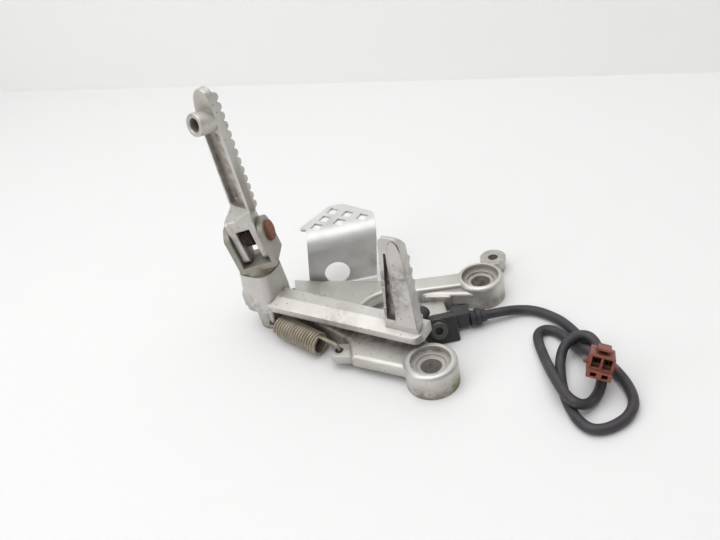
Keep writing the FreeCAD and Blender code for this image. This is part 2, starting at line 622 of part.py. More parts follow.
def pedal_return_spring():
    """Extension spring from the post under the pedal arm to the lug on the hanger."""
    post, run = spring_ends()
    ring_r = (POST_D + SPRING_WIRE) / 2 + RUNNING
    coil_start = ring_r + SPRING_WIRE * 0.6
    heading = math.degrees(math.atan2(run.y, run.x))
    turns = coil(SPRING_OD - 2 * SPRING_WIRE, SPRING_WIRE, SPRING_TURNS)
    body = placed(turns, post + run * coil_start, (UP, heading))
    middle = (SPRING_OD - SPRING_WIRE) / 2
    ring = Part.makeTorus(ring_r, SPRING_WIRE / 2, post, UP)
    side = V(-run.y, run.x, 0) * -middle
    rear = rod(post + run * (coil_start + SPRING_WIRE / 2) + side, post + side * (ring_r / middle), SPRING_WIRE)
    mouth = post + run * (coil_start + SPRING_TURNS * SPRING_WIRE - SPRING_WIRE / 2) + UP * middle
    above = V(LUG.x, LUG.y, mouth.z)
    below = V(LUG.x, LUG.y, PLATE_BOTTOM - SPRING_WIRE / 2)
    return body.multiFuse([ring, rear, rod(mouth, above, SPRING_WIRE), rod(above, below, SPRING_WIRE)])


def heel_guard():
    """Bent sheet guard: foot under the plate, upright wall with a round hole, pierced top flange."""
    y = GUARD_Y
    t = GUARD_SHEET
    r = GUARD_BEND_R
    foot_top = PLATE_BOTTOM
    foot_r = GUARD_FOOT_R
    knee = GUARD_TOP - t - r
    heel = foot_top + foot_r
    s = math.sqrt(0.5)
    points = [
        ("line", (y - 8, foot_top - t), (y - foot_r, foot_top - t)),
        ("arc", (y - foot_r, foot_top - t), (y - foot_r + (foot_r + t) * s, heel - (foot_r + t) * s), (y + t, heel)),
        ("line", (y + t, heel), (y + t, knee)),
        ("arc", (y + t, knee), (y + t + r - r * s, knee + r * s), (y + t + r, knee + r)),
        ("line", (y + t + r, knee + r), (y + t + r + 1, knee + r)),
        ("line", (y + t + r + 1, knee + r), (y + t + r + 1, GUARD_TOP)),
        ("line", (y + t + r + 1, GUARD_TOP), (y + t + r, GUARD_TOP)),
        ("arc", (y + t + r, GUARD_TOP), (y + t + r - (r + t) * s, knee + (r + t) * s), (y, knee)),
        ("line", (y, knee), (y, heel)),
        ("arc", (y, heel), (y - foot_r + foot_r * s, heel - foot_r * s), (y - foot_r, foot_top)),
        ("line", (y - foot_r, foot_top), (y - 8, foot_top)),
        ("line", (y - 8, foot_top), (y - 8, foot_top - t))]
    edges = []
    for kind, *ends in points:
        ends = [V(2 * GUARD_LEFT, a, b) for a, b in ends]
        edges.append((Part.Arc(*ends) if kind == "arc" else Part.LineSegment(*ends)).toShape())
    sheet = Part.Face(Part.Wire(edges)).extrude(V(-2 * GUARD_LEFT, 0, 0))
    shift = GUARD_TOP * math.tan(math.radians(GUARD_LEAN))
    right = GUARD_LEFT + GUARD_WIDTH
    trim = Part.Face(Part.makePolygon([
        V(GUARD_LEFT, y - 30, 0), V(right, y - 30, 0), V(right + shift, y - 30, GUARD_TOP),
        V(GUARD_LEFT + shift, y - 30, GUARD_TOP), V(GUARD_LEFT, y - 30, 0)])).extrude(V(0, 80, 0))
    body = sheet.common(trim)
    start = y + t + r
    left_top = GUARD_LEFT + shift
    flange = plate([(left_top, start, 0.3), (right + shift, start, 0.3), (right + shift, start + 4, 4),
                    (FLANGE_TIP_X[0], FLANGE_TIP, 6), (FLANGE_TIP_X[1], FLANGE_TIP, 5),
                    (left_top - FLANGE_EAR, start + FLANGE_EAR / 3, FLANGE_EAR / 3)], GUARD_TOP - t, GUARD_TOP)
    foot = plate([(GUARD_LEFT + 4, y - GUARD_FOOT, 5), (right - 6, y - GUARD_FOOT, 5), (right, y - 7.5, 0.3),
                  (GUARD_LEFT + 1, y - 7.5, 0.3)], foot_top - t, foot_top)
    body = body.multiFuse([flange, foot]).removeSplitter()
    cuts = [cylinder(GUARD_HOLE_D, 20, V(GUARD_HOLE_X, y - 1, GUARD_HOLE_Z), V(0, 1, 0))]
    cuts += [cylinder(GUARD_SCREW_D + 2 * BOLT_SLACK, foot_top, p) for p in GUARD_SCREWS]
    turn = FreeCAD.Rotation(UP, SQUARE_TURN)
    for row in range(3):
        for place in range(3 - row):
            at = SQUARE_CORNER + turn.multVec(V(place * SQUARE_PITCH, -row * SQUARE_ROW, 0))
            cuts.append(placed(block(SQUARE_HOLE, SQUARE_HOLE, GUARD_TOP, 0.4), at + UP * (GUARD_TOP / 2), (UP, SQUARE_TURN)))
    for cut in cuts:
        body = body.cut(cut)
    return body


def heel_guard_screws():
    """Two button-head screws that hold the guard's foot to the plate from below."""
    screws = []
    for p in GUARD_SCREWS:
        top = PLATE_BOTTOM - GUARD_SHEET
        head = cylinder(GUARD_SCREW_HEAD_D, GUARD_SCREW_HEAD, p + UP * (top - GUARD_SCREW_HEAD))
        head = head.makeFillet(GUARD_SCREW_HEAD * 0.6, edges_at(head, top - GUARD_SCREW_HEAD))
        shank = cylinder(GUARD_SCREW_D - 2 * RUNNING, PLATE_TOP - 3 - top, p + UP * top)
        screws.append(head.fuse(shank))
    return Part.makeCompound(screws)


def plunger_line():
    """Point of the tang's face that the plunger meets, and the direction into the switch."""
    height = (PLATE_TOP + 1.2 + ARM_BOTTOM) / 2
    face = pedal_point(TANG_ALONG, TANG_HALF, height)
    inward = FreeCAD.Rotation(UP, PEDAL_AZIMUTH).multVec(V(0, 1, 0))
    return face, inward


def switch_body():
    """Moulded switch case with its lead outlet and the snout that guides the plunger."""
    case = plate([(-SWITCH_WIDTH / 2, -6, 2), (SWITCH_WIDTH / 2, -6, 2), (SWITCH_WIDTH / 2, SWITCH_HEIGHT, 2),
                  (-SWITCH_WIDTH / 2, SWITCH_HEIGHT, 2)], -SWITCH_DEPTH, 0)
    case = on_switch(case.makeFillet(0.8, edges_at(case, 0)))
    length, width, height = OUTLET_SIZE
    outlet_x = LEAD_ROUTE[0][0] - BOOT_LENGTH - length / 2
    outlet = placed(block(length, width, height, 2), V(outlet_x, LEAD_ROUTE[0][1], SWITCH_FOOT.z))
    face, inward = plunger_line()
    snout = cylinder(PLUNGER_D + 3, 9, face + inward * PLUNGER_REACH, inward)
    body = case.multiFuse([outlet, snout])
    body = body.common(Part.makeBox(200, 200, 60, V(-100, -100, SWITCH_FOOT.z)))
    body = body.cut(cylinder(PLUNGER_D + 2 * RUNNING, 7.5, face + inward * PLUNGER_REACH, inward))
    body = body.cut(on_switch(cylinder(SWITCH_SCREW_D + 2 * BOLT_SLACK, SWITCH_DEPTH, V(*SWITCH_SCREW_AT, -SWITCH_DEPTH))))
    return body.removeSplitter()


def switch_plunger():
    """Spring-loaded plunger that the pedal's tang holds in."""
    face, inward = plunger_line()
    length = PLUNGER_REACH + 4 - SIDE_GAP
    pin = cylinder(PLUNGER_D, length, V(0, 0, 0))
    pin = pin.makeFillet(PLUNGER_D * 0.3, edges_at(pin, 0))
    return placed(pin, face + inward * SIDE_GAP, (V(1, 0, 0), -90), (UP, PEDAL_AZIMUTH))


def switch_screw():
    """Hexagon socket screw that holds the switch to its lug."""
    base = V(*SWITCH_SCREW_AT, SWITCH_WASHER)
    head = cylinder(SWITCH_SCREW_HEAD_D, SWITCH_SCREW_HEAD, base)
    head = head.makeFillet(0.6, edges_at(head, SWITCH_WASHER + SWITCH_SCREW_HEAD))
    head = head.cut(hexagon(SCREW_SOCKET_AF, SWITCH_SCREW_HEAD, base + UP * 1.4))
    reach = SWITCH_WASHER + SWITCH_DEPTH + SWITCH_SCREW_GRIP - SIDE_GAP
    shank = cylinder(SWITCH_SCREW_D - 2 * RUNNING, reach, base - UP * reach)
    return on_switch(head.fuse(shank))


def switch_washer():
    """Flat washer under the switch screw's head."""
    base = V(*SWITCH_SCREW_AT, 0)
    ring = cylinder(SWITCH_WASHER_D, SWITCH_WASHER, base)
    return on_switch(ring.cut(cylinder(SWITCH_SCREW_D + 2 * BOLT_SLACK, SWITCH_WASHER, base)))


def switch_boot():
    """Rubber boot with a bead, where the lead leaves the switch."""
    start = V(*LEAD_ROUTE[0])
    back = start - V(*LEAD_ROUTE[1])
    back.normalize()
    r = LEAD_D / 2
    profile = [(0, 0), (r + 0.7, 0), (r + 0.9, 2.5), (r + 2.2, 3.2), (r + 2.2, 5.2), (r + 1.2, 6), (r + 1.8, BOOT_LENGTH),
               (0, BOOT_LENGTH), (0, 0)]
    face = Part.Face(Part.makePolygon([V(x, 0, z) for x, z in profile]))
    body = face.revolve(V(0, 0, 0), UP, 360)
    body.Placement = FreeCAD.Placement(start, FreeCAD.Rotation(UP, back))
    return body


def lead():
    """Sheathed lead: straight runs joined by arcs as large as the runs allow."""
    points = [V(*p) for p in LEAD_ROUTE]
    edges = []
    at = points[0]
    radii = []
    for before, here, after in zip(points, points[1:], points[2:]):
        a = before - here
        b = after - here
        half = a.getAngle(b) / 2
        reach = 0.45 * min(a.Length, b.Length)
        radius = reach * math.tan(half)
        radii.append(radius)
        a.normalize()
        b.normalize()
        middle = a + b
        middle.normalize()
        centre = here + middle * (radius / math.sin(half))
        edges.append(Part.LineSegment(at, here + a * reach).toShape())
        edges.append(Part.Arc(here + a * reach, centre - middle * radius, here + b * reach).toShape())
        at = here + b * reach
    edges.append(Part.LineSegment(at, points[-1]).toShape())
    path = Part.Wire(edges)
    section = Part.Wire(Part.makeCircle(LEAD_D / 2, points[0], points[1] - points[0]))
    tube = path.makePipeShell([section], True, True)
    print("lead length", round(path.Length, 1), "volume share",
          round(tube.Volume / (path.Length * math.pi * LEAD_D ** 2 / 4), 4))
    print("lead radii", [round(radius, 1) for radius in radii])
    return tube


def on_connector(shape):
    """Place a shape drawn from the connector's wire entry along X."""
    end = V(*LEAD_ROUTE[-1])
    return placed(shape, end, (UP, CONNECTOR_YAW))


def cavity_middles():
    """Distances of the two cavities' middles from the connector's centre line."""
    return [side * (CONNECTOR_WIDTH - CONNECTOR_WALL) / 4 for side in (-1, 1)]


def connector_housing():
    """Moulded two-way housing with a sprung latch on top."""
    half = CONNECTOR_HEIGHT / 2
    body = placed(block(CONNECTOR_LENGTH, CONNECTOR_WIDTH, CONNECTOR_HEIGHT, 1),
                  V(CONNECTOR_LENGTH / 2 + SIDE_GAP, 0, -half))
    latch = Part.makeBox(CONNECTOR_LENGTH * 0.75, LATCH_WIDTH, LATCH_THICK,
                         V(LATCH_START, -LATCH_WIDTH / 2, half + CONNECTOR_LATCH - LATCH_THICK))
    root = Part.makeBox(LATCH_ROOT, LATCH_WIDTH, CONNECTOR_LATCH, V(LATCH_START, -LATCH_WIDTH / 2, half))
    body = body.multiFuse([latch, root])
    width = CONNECTOR_WIDTH / 2 - 1.5 * CONNECTOR_WALL
    height = CONNECTOR_HEIGHT - 2 * CONNECTOR_WALL
    inner = CONNECTOR_LENGTH + SIDE_GAP - CAVITY_DEPTH
    for middle in cavity_middles():
        body = body.cut(Part.makeBox(CAVITY_DEPTH, width, height, V(inner, middle - width / 2, -height / 2)))
    return on_connector(body.removeSplitter())


def connector_terminals():
    """Two brass sockets, seated at the inner end of the cavities."""
    sockets = []
    inner = CONNECTOR_LENGTH + SIDE_GAP - CAVITY_DEPTH
    clear = TERMINAL - 2 * TERMINAL_WALL
    for middle in cavity_middles():
        socket = Part.makeBox(TERMINAL_LENGTH, TERMINAL, TERMINAL, V(inner, middle - TERMINAL / 2, -TERMINAL / 2))
        bore = Part.makeBox(TERMINAL_LENGTH, clear, clear, V(inner + TERMINAL, middle - clear / 2, -clear / 2))
        sockets.append(on_connector(socket.cut(bore)))
    return Part.makeCompound(sockets)


NODES = (
    hanger_casting, tab_collar, heel_guard, heel_guard_screws, peg_clevis, clevis_bolt, clevis_washer, pedal_washers,
    peg_pin, peg_pin_clip, peg_return_spring, footpeg, brake_pedal, pedal_bush, pedal_return_spring, switch_body,
    switch_screw, switch_washer, switch_plunger, switch_boot, lead, connector_housing, connector_terminals)

os.makedirs("parts", exist_ok=True)
for node in NODES:
    solid = node()
    solid.exportStep("parts/" + node.__name__ + ".step")
    print(node.__name__, len(solid.Solids), round(solid.Volume), solid.isValid())
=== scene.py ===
"""Looks of the motorcycle footrest hanger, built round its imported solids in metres."""
import math

import bmesh
import bpy
import numpy as np
from mathutils import Matrix, Vector


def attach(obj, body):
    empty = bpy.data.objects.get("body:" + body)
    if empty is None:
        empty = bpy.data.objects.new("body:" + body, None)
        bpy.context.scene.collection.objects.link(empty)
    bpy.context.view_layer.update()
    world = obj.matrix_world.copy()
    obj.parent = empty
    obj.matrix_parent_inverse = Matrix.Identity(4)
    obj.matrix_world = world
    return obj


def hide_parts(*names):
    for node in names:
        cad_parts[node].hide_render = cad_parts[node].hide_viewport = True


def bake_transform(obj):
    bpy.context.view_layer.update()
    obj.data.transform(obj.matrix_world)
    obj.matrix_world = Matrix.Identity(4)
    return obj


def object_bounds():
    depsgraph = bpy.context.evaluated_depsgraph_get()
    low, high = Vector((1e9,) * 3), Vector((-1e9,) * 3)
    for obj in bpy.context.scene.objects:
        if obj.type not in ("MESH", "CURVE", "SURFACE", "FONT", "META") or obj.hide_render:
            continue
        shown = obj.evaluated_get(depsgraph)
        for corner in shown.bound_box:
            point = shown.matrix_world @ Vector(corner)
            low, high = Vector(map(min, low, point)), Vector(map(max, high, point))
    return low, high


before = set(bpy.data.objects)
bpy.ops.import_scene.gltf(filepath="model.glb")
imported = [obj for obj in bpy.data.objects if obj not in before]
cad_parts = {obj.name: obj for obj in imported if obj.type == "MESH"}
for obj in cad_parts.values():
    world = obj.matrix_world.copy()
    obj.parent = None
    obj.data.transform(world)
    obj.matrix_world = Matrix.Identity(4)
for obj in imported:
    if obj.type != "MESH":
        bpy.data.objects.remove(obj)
cad_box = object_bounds()

# Hanger casting: the forked plate with its two frame bosses, sand-blasted aluminium cast in one piece.
# Painted shade mixed with grime darkens its corners, pores show as small dark pits, and its edges are painted
# bright, as rubbing wear and highlight.
# The bosses are darker, olive and brown, at their feet; a web fills the root of the fork.


def linear(text):
    """sRGB hex colour as linear red, green, blue and alpha."""
    parts = [int(text[i:i + 2], 16) / 255 for i in (1, 3, 5)]
    return [c / 12.92 if c <= 0.04045 else ((c + 0.055) / 1.055) ** 2.4 for c in parts] + [1.0]


def add(tree, kind, settings, **links):
    """Add one node, set its properties and sockets, and link other nodes' outputs to its inputs."""
    node = tree.nodes.new(kind)
    for name, value in settings.items():
        if isinstance(name, str) and hasattr(node, name):
            setattr(node, name, value)
        else:
            node.inputs[name].default_value = value
    for name, source in links.items():
        key = int(name[1:]) if name[0] == "i" and name[1:].isdigit() else name.replace("_", " ")
        tree.links.new(source, node.inputs[key])
    return node


def surface(name, settings, edge):
    """New material: a Principled shader whose edges are rounded by the given radius."""
    material = bpy.data.materials.new(name)
    material.use_nodes = True
    tree = material.node_tree
    shader = tree.nodes["Principled BSDF"]
    for socket, value in settings.items():
        shader.inputs[socket].default_value = value
    tree.links.new(add(tree, "ShaderNodeTexCoord", {}).outputs["Object"],
                   add(tree, "NodeReroute", {"name": "place"}).inputs[0])
    if edge:
        rounded = add(tree, "ShaderNodeBevel", {"name": "edge", "samples": 6, "Radius": edge})
        tree.links.new(rounded.outputs[0], shader.inputs["Normal"])
    return material, tree, shader


def blend_in(tree, shader, colour, share):
    """Mix one more colour over the base colour that the shader has so far."""
    layer = add(tree, "ShaderNodeMix", {"data_type": "RGBA", 7: linear(colour)}, i0=share)
    before = shader.inputs["Base Color"]
    if before.links:
        tree.links.new(before.links[0].from_socket, layer.inputs[6])
    else:
        layer.inputs[6].default_value = before.default_value
    tree.links.new(layer.outputs[2], before)


def rubbed_and_highlit_edges(tree, shader, colour, amount):
    """Brighten the edges, where the rounded normal turns away from the face's own: painted highlight, and
    wear.
    """
    face = add(tree, "ShaderNodeNewGeometry", {})
    turn = add(tree, "ShaderNodeVectorMath", {"operation": "DOT_PRODUCT"},
               i0=tree.nodes["edge"].outputs[0], i1=face.outputs["Normal"])
    rim = add(tree, "ShaderNodeMapRange",
              {"From Min": 0.80, "From Max": 0.985, "To Min": amount, "To Max": 0.0},
              Value=turn.outputs["Value"])
    blend_in(tree, shader, colour, rim.outputs[0])


def pores(tree, shader, colour, spacing, part):
    """Small dark casting pores in part of the cells of a pattern with the given spacing."""
    cells = add(tree, "ShaderNodeTexVoronoi", {"Scale": 1.0 / spacing}, Vector=tree.nodes["place"].outputs[0])
    dot = add(tree, "ShaderNodeMapRange", {"From Min": 0.10, "From Max": 0.26, "To Min": 0.6, "To Max": 0.0},
              Value=cells.outputs["Distance"])
    chosen = add(tree, "ShaderNodeMath", {"operation": "LESS_THAN", 1: part}, i0=cells.outputs["Color"])
    share = add(tree, "ShaderNodeMath", {"operation": "MULTIPLY"}, i0=dot.outputs[0], i1=chosen.outputs[0])
    blend_in(tree, shader, colour, share.outputs[0])


GRIME_AND_SHADE_BLOTCH = 0.007143
STAIN_AND_SHADE_BLOTCH = 0.003846


def corner_grime_and_shade(tree, shader, colour, reach, amount, cover):
    """Colour in corners within reach, thick in blotches and thin between them: painted shade mixed with grime
    where it is darker.
    """
    corner = add(tree, "ShaderNodeAmbientOcclusion", {"samples": 8, "Distance": reach})
    blotch = add(tree, "ShaderNodeTexNoise", {"Scale": 1.0 / GRIME_AND_SHADE_BLOTCH, "Detail": 5.0, "Roughness": 0.62},
                 Vector=tree.nodes["place"].outputs[0])
    shut = add(tree, "ShaderNodeMapRange",
               {"From Min": 0.35, "From Max": 0.95, "To Min": amount, "To Max": 0.0},
               Value=corner.outputs["AO"])
    patch = add(tree, "ShaderNodeMapRange",
                {"From Min": 0.38, "From Max": 0.70, "To Min": cover, "To Max": 1.0},
                Value=blotch.outputs["Fac"])
    share = add(tree, "ShaderNodeMath", {"operation": "MULTIPLY", "use_clamp": True},
                i0=shut.outputs[0], i1=patch.outputs[0])
    blend_in(tree, shader, colour, share.outputs[0])
    dull = add(tree, "ShaderNodeMapRange",
               {"To Min": shader.inputs["Roughness"].default_value, "To Max": 0.85}, Value=share.outputs[0])
    tree.links.new(dull.outputs[0], shader.inputs["Roughness"])


def stain_and_shade_patch(tree, shader, colour, centre, reach, amount):
    """Blotched patch of colour round one place on a piece; most are stains, some are painted shade."""
    away = add(tree, "ShaderNodeVectorMath", {"operation": "DISTANCE", 1: centre},
               i0=tree.nodes["place"].outputs[0])
    blotch = add(tree, "ShaderNodeTexNoise", {"Scale": 1.0 / STAIN_AND_SHADE_BLOTCH, "Detail": 4.0, "Roughness": 0.65},
                 Vector=tree.nodes["place"].outputs[0])
    patch = add(tree, "ShaderNodeMapRange", {"From Min": 0.36, "From Max": 0.62}, Value=blotch.outputs["Fac"])
    near = add(tree, "ShaderNodeMapRange",
               {"From Min": 0.2 * reach, "From Max": reach, "To Min": amount, "To Max": 0.0},
               Value=away.outputs["Value"])
    share = add(tree, "ShaderNodeMath", {"operation": "MULTIPLY"}, i0=near.outputs[0], i1=patch.outputs[0])
    blend_in(tree, shader, colour, share.outputs[0])


def shades(tree, shader, colour, spacing, amount):
    """Slow change of colour over the surface."""
    tone = add(tree, "ShaderNodeTexNoise", {"Scale": 1.0 / spacing, "Detail": 3.0},
               Vector=tree.nodes["place"].outputs[0])
    share = add(tree, "ShaderNodeMapRange",
                {"From Min": 0.35, "From Max": 0.68, "To Min": 0.0, "To Max": amount},
                Value=tone.outputs["Fac"])
    blend_in(tree, shader, colour, share.outputs[0])


def grain(tree, shader, spacing, depth):
    """Fine roughness of the surface, over the rounded edges."""
    fine = add(tree, "ShaderNodeTexNoise", {"Scale": 1.0 / spacing, "Detail": 2.0},
               Vector=tree.nodes["place"].outputs[0])
    bump = add(tree, "ShaderNodeBump", {"Strength": 0.35, "Distance": depth}, Height=fine.outputs["Fac"])
    if shader.inputs["Normal"].links:
        tree.links.new(shader.inputs["Normal"].links[0].from_socket, bump.inputs["Normal"])
    tree.links.new(bump.outputs[0], shader.inputs["Normal"])


def dress(node, material):
    """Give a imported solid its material."""
    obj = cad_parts[node]
    obj.data.materials.clear()
    obj.data.materials.append(material)


def stand(origin, right, top):
    """Matrix that sets a flat outline upright at a point, with its right and top directions."""
    turned = Matrix((right, top, right.cross(top))).transposed()
    return Matrix.Translation(origin) @ turned.to_4x4()


def plate(outlines, thick, edge, place):
    """Mesh of a flat form: outlines filled, holes after the outer one, and drawn out to a thickness.

    Its edges are rounded, and a matrix sets it in place.
    """
    flat = bpy.data.curves.new("flat", "CURVE")
    flat.dimensions = "2D"
    flat.fill_mode = "BOTH"
    flat.extrude = thick / 2 - edge
    flat.bevel_depth = edge
    flat.bevel_resolution = 2
    flat.offset = -edge
    for outline in outlines:
        line = flat.splines.new("POLY")
        line.points.add(len(outline) - 1)
        spots = np.column_stack((outline, np.zeros(len(outline)), np.ones(len(outline))))
        line.points.foreach_set("co", spots.ravel())
        line.use_cyclic_u = True
    mesh = bpy.data.meshes.new_from_object(bpy.data.objects.new("flat", flat))
    mesh.transform(place)
    return mesh


MERGE = 0.000002


def joined(name, meshes, material, lowest=None):
    """One piece at the origin from several meshes, cut off flat at its lowest level where one is given."""
    form = bmesh.new()
    for mesh in meshes:
        form.from_mesh(mesh)
    bmesh.ops.remove_doubles(form, verts=form.verts[:], dist=MERGE)
    if lowest is not None:
        everything = form.verts[:] + form.edges[:] + form.faces[:]
        cut = bmesh.ops.bisect_plane(form, geom=everything, plane_co=(0.0, 0.0, lowest),
                                     plane_no=(0.0, 0.0, 1.0), clear_inner=True)
        rim = [e for e in cut["geom_cut"] if isinstance(e, bmesh.types.BMEdge)]
        bmesh.ops.holes_fill(form, edges=rim, sides=0)
    bmesh.ops.recalc_face_normals(form, faces=form.faces[:])
    mesh = bpy.data.meshes.new(name)
    form.to_mesh(mesh)
    form.free()
    mesh.materials.clear()
    mesh.materials.append(material)
    obj = bpy.data.objects.new(name, mesh)
    bpy.context.collection.objects.link(obj)
    return obj


BORES = ((0.0, 0.0, 0.0050), (0.0390, 0.0575, 0.0050))
WEB = [(-0.0345, 0.0335), (-0.0300, 0.0285), (-0.0250, 0.0245), (-0.0205, 0.0215), (-0.0160, 0.0195),
       (-0.0110, 0.0190), (-0.0075, 0.0215), (-0.0080, 0.0270), (-0.0120, 0.0283), (-0.0170, 0.0285),
       (-0.0225, 0.0303), (-0.0265, 0.0340), (-0.0300, 0.0390)]
WEB_LOW = 0.0050
WEB_TOP = 0.01095
WEB_EDGE = 0.0012
sideways = Vector((1.0, 0.0, 0.0))
up = Vector((0.0, 0.0, 1.0))

# Sand-cast aluminium, blasted: a soft grey sheen, with painted shade and grime in the hollows and painted
# highlight with wear on the edges.
cast, tree, shader = surface(
    "cast_aluminium", {"Base Color": linear("#D3D1CD"), "Metallic": 0.8, "Roughness": 0.44}, 0.0007)
shades(tree, shader, "#B3AFA8", 0.022, 0.55)
rubbed_and_highlit_edges(tree, shader, "#ECEAE6", 0.7)
pores(tree, shader, "#7A6E66", 0.0026, 0.28)
corner_grime_and_shade(tree, shader, "#62554C", 0.011, 1.0, 0.35)
for bore in BORES:
    stain_and_shade_patch(tree, shader, "#D8D6D2", bore, 0.0110, 1.0)
# Darker, olive and brown, at the feet of the two bosses.
stain_and_shade_patch(tree, shader, "#7C774C", (0.0095, -0.0090, 0.0020), 0.0085, 0.9)
stain_and_shade_patch(tree, shader, "#6E5F55", (-0.006, -0.0120, 0.0015), 0.0080, 0.8)
stain_and_shade_patch(tree, shader, "#7A7160", (0.046, 0.0500, 0.0015), 0.0080, 0.7)
# Painted shadow of the pedal arm on the web at the root of the fork.
stain_and_shade_patch(tree, shader, "#6E6058", (-0.0385, 0.0360, 0.0110), 0.0130, 0.75)
grain(tree, shader, 0.0006, 0.0002)
dress("hanger_casting", cast)
web = joined("fork_web", [plate([WEB], WEB_TOP - WEB_LOW, WEB_EDGE,
                                stand(up * (WEB_LOW + WEB_TOP) / 2, sideways, up.cross(sideways)))], cast)
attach(web, "hanger")

# Tab collar, guard screws, clevis bolt and washers: turned, headed and stamped steel, zinc plated.
# The collar is pressed in the tab, and the screws and the bolt are tightened from the inboard side.
# One washer lies under the bolt's head, and two run against the pedal's hub.

# Zinc-plated steel: a cool, even sheen, with brown painted shade and grime in the corners.
zinc, tree, shader = surface(
    "zinc_steel", {"Base Color": linear("#C2C0BA"), "Metallic": 0.9, "Roughness": 0.36}, 0.0003)
shades(tree, shader, "#9C978B", 0.004, 0.5)
corner_grime_and_shade(tree, shader, "#6B5E4E", 0.003, 0.9, 0.3)
grain(tree, shader, 0.0008, 0.00008)
for node in ("tab_collar", "heel_guard_screws", "clevis_bolt", "clevis_washer", "pedal_washers"):
    dress(node, zinc)

# Heel guard: pressed and bent aluminium sheet, polished.
# Its foot is screwed to the plate, and its bent top flange is pierced with six squares.
# Boots have left a fine satin haze and a few brown rub marks on it.

# Rolled aluminium sheet, polished: broad, soft reflections under a fine haze, edges painted paler as wear and
# highlight, and painted shade in the corners.
sheet, tree, shader = surface(
    "polished_sheet", {"Base Color": linear("#DCDCDB"), "Metallic": 0.5, "Roughness": 0.42}, 0.0003)
shades(tree, shader, "#BDBBB8", 0.012, 0.5)
rubbed_and_highlit_edges(tree, shader, "#EFEEEC", 0.6)
corner_grime_and_shade(tree, shader, "#857B72", 0.006, 0.5, 0.2)
stain_and_shade_patch(tree, shader, "#8C7F74", (-0.0135, 0.0900, 0.0150), 0.0070, 0.45)
stain_and_shade_patch(tree, shader, "#9A9089", (-0.0300, 0.1050, 0.0450), 0.0120, 0.35)
grain(tree, shader, 0.0016, 0.00005)
dress("heel_guard", sheet)

# Footrest clevis: forged bracket, painted satin olive grey.
# Its shaft goes through the pedal's hub and is bolted from the inboard side.
# The edges of its ears are painted paler, as paint rubbed thin and as highlight, and it is brown at the foot.

# Satin paint on forged steel: an even olive grey with a low, wide highlight, and painted shade in its corners.
paint, tree, shader = surface(
    "grey_paint", {"Base Color": linear("#9F9C91"), "Metallic": 0.3, "Roughness": 0.40}, 0.0007)
shades(tree, shader, "#87847A", 0.010, 0.5)
rubbed_and_highlit_edges(tree, shader, "#BAB7AD", 0.7)
corner_grime_and_shade(tree, shader, "#4C463E", 0.008, 0.9, 0.3)
stain_and_shade_patch(tree, shader, "#7A6552", (-0.0750, 0.0659, 0.0400), 0.0070, 0.7)
grain(tree, shader, 0.0007, 0.00012)
dress("peg_clevis", paint)

# Footpeg: aluminium casting with a toothed tread and a hollow underside, darkened by brown dirt and painted
# shade.
# It hangs on the pin between the clevis ears and folds up against its spring.

# Sand-cast aluminium, left rough: pale and grainy, edges painted paler as wear and highlight, with brown dirt
# and painted shade in the hollow.
peg, tree, shader = surface(
    "peg_aluminium", {"Base Color": linear("#D2D0CB"), "Metallic": 0.8, "Roughness": 0.44}, 0.0007)
shades(tree, shader, "#B2ADA5", 0.014, 0.5)
rubbed_and_highlit_edges(tree, shader, "#ECEAE6", 0.6)
pores(tree, shader, "#6E625B", 0.0024, 0.36)
corner_grime_and_shade(tree, shader, "#87776F", 0.012, 0.9, 0.5)
for height in (0.086, 0.094, 0.102, 0.110):
    stain_and_shade_patch(tree, shader, "#8B7C76", (-0.0783, 0.0745, height), 0.0090, 0.6)
stain_and_shade_patch(tree, shader, "#5E4C48", (-0.0783, 0.0735, 0.1185), 0.0060, 0.8)
stain_and_shade_patch(tree, shader, "#655452", (-0.0770, 0.0750, 0.0815), 0.0070, 0.8)
grain(tree, shader, 0.0006, 0.0002)
PEG_PIN = Vector((-0.0775, 0.0750, 0.0580))
PIN_ALONG = Vector((0.97158, -0.16084, 0.17365))
PIN_UP = Vector((-0.17131, 0.02836, 0.98481))
PEG_RIGHT = Vector((0.69371, -0.71934, 0.03636))
PEG_UP = Vector((-0.05234, 0.0, 0.99863))
LEG = 0.00395
LEG_EDGE = 0.0005
WINDOW = 0.0074
WINDOW_TOP = 0.0062
ROOT_LOW = -0.0134
ROOT_TOP = 0.0135
ROOT_DEPTH = 0.0120
ROOT_CORNER = 0.0030
BRIDGE_CORNER = 0.0012
BRIDGE_EDGE = 0.0002
BORE_R = 0.00405
NECK_HALF = 0.0072
NECK_ROOT = ((-0.0056, 0.0100), (0.0056, 0.0100), (-0.0030, 0.0132), (0.0030, 0.0132))
NECK_SIDES = (-0.0040, 0.0104)
NECK_FACES = (-0.0019, 0.0030)
NECK_TOP = 0.0190
BAR_BASE = 0.0175
BAR_EDGE = 0.0001
PEG_LENGTH = 0.0850
BAR = [(-0.0044, BAR_BASE), (0.0108, BAR_BASE), (0.0101, 0.0795), (0.0096, 0.0818), (0.0086, 0.0835),
       (0.0070, 0.0846), (0.0051, PEG_LENGTH), (0.0031, 0.0846), (0.0011, 0.0832), (-0.0007, 0.0809),
       (-0.0020, 0.0779), (-0.0029, 0.0746), (-0.0034, 0.0710)]
HOLLOW = (-0.0030, 0.0083, 0.0195, 0.0628)
HOLLOW_CORNER = 0.0018
RIM = 0.0028
RIM_OUT = -0.0005
HOLLOW_FLOOR = 0.0010
HOLLOW_FLOOR_OUT = 0.0014
TOOTH_R = 0.0024
TOOTH_WRAP = 122.0
TOOTH_EDGE = 0.0004
TOOTH_PITCH = 0.0049
FIRST_TOOTH = 0.0205
TIP_CLEAR = 0.003
TIP_HEIGHTS = (0.0720, 0.0752, 0.0785, 0.0815, 0.0838)
TIP_LEFTS = (-0.0028, -0.0022, -0.0010, 0.0012, 0.0042)
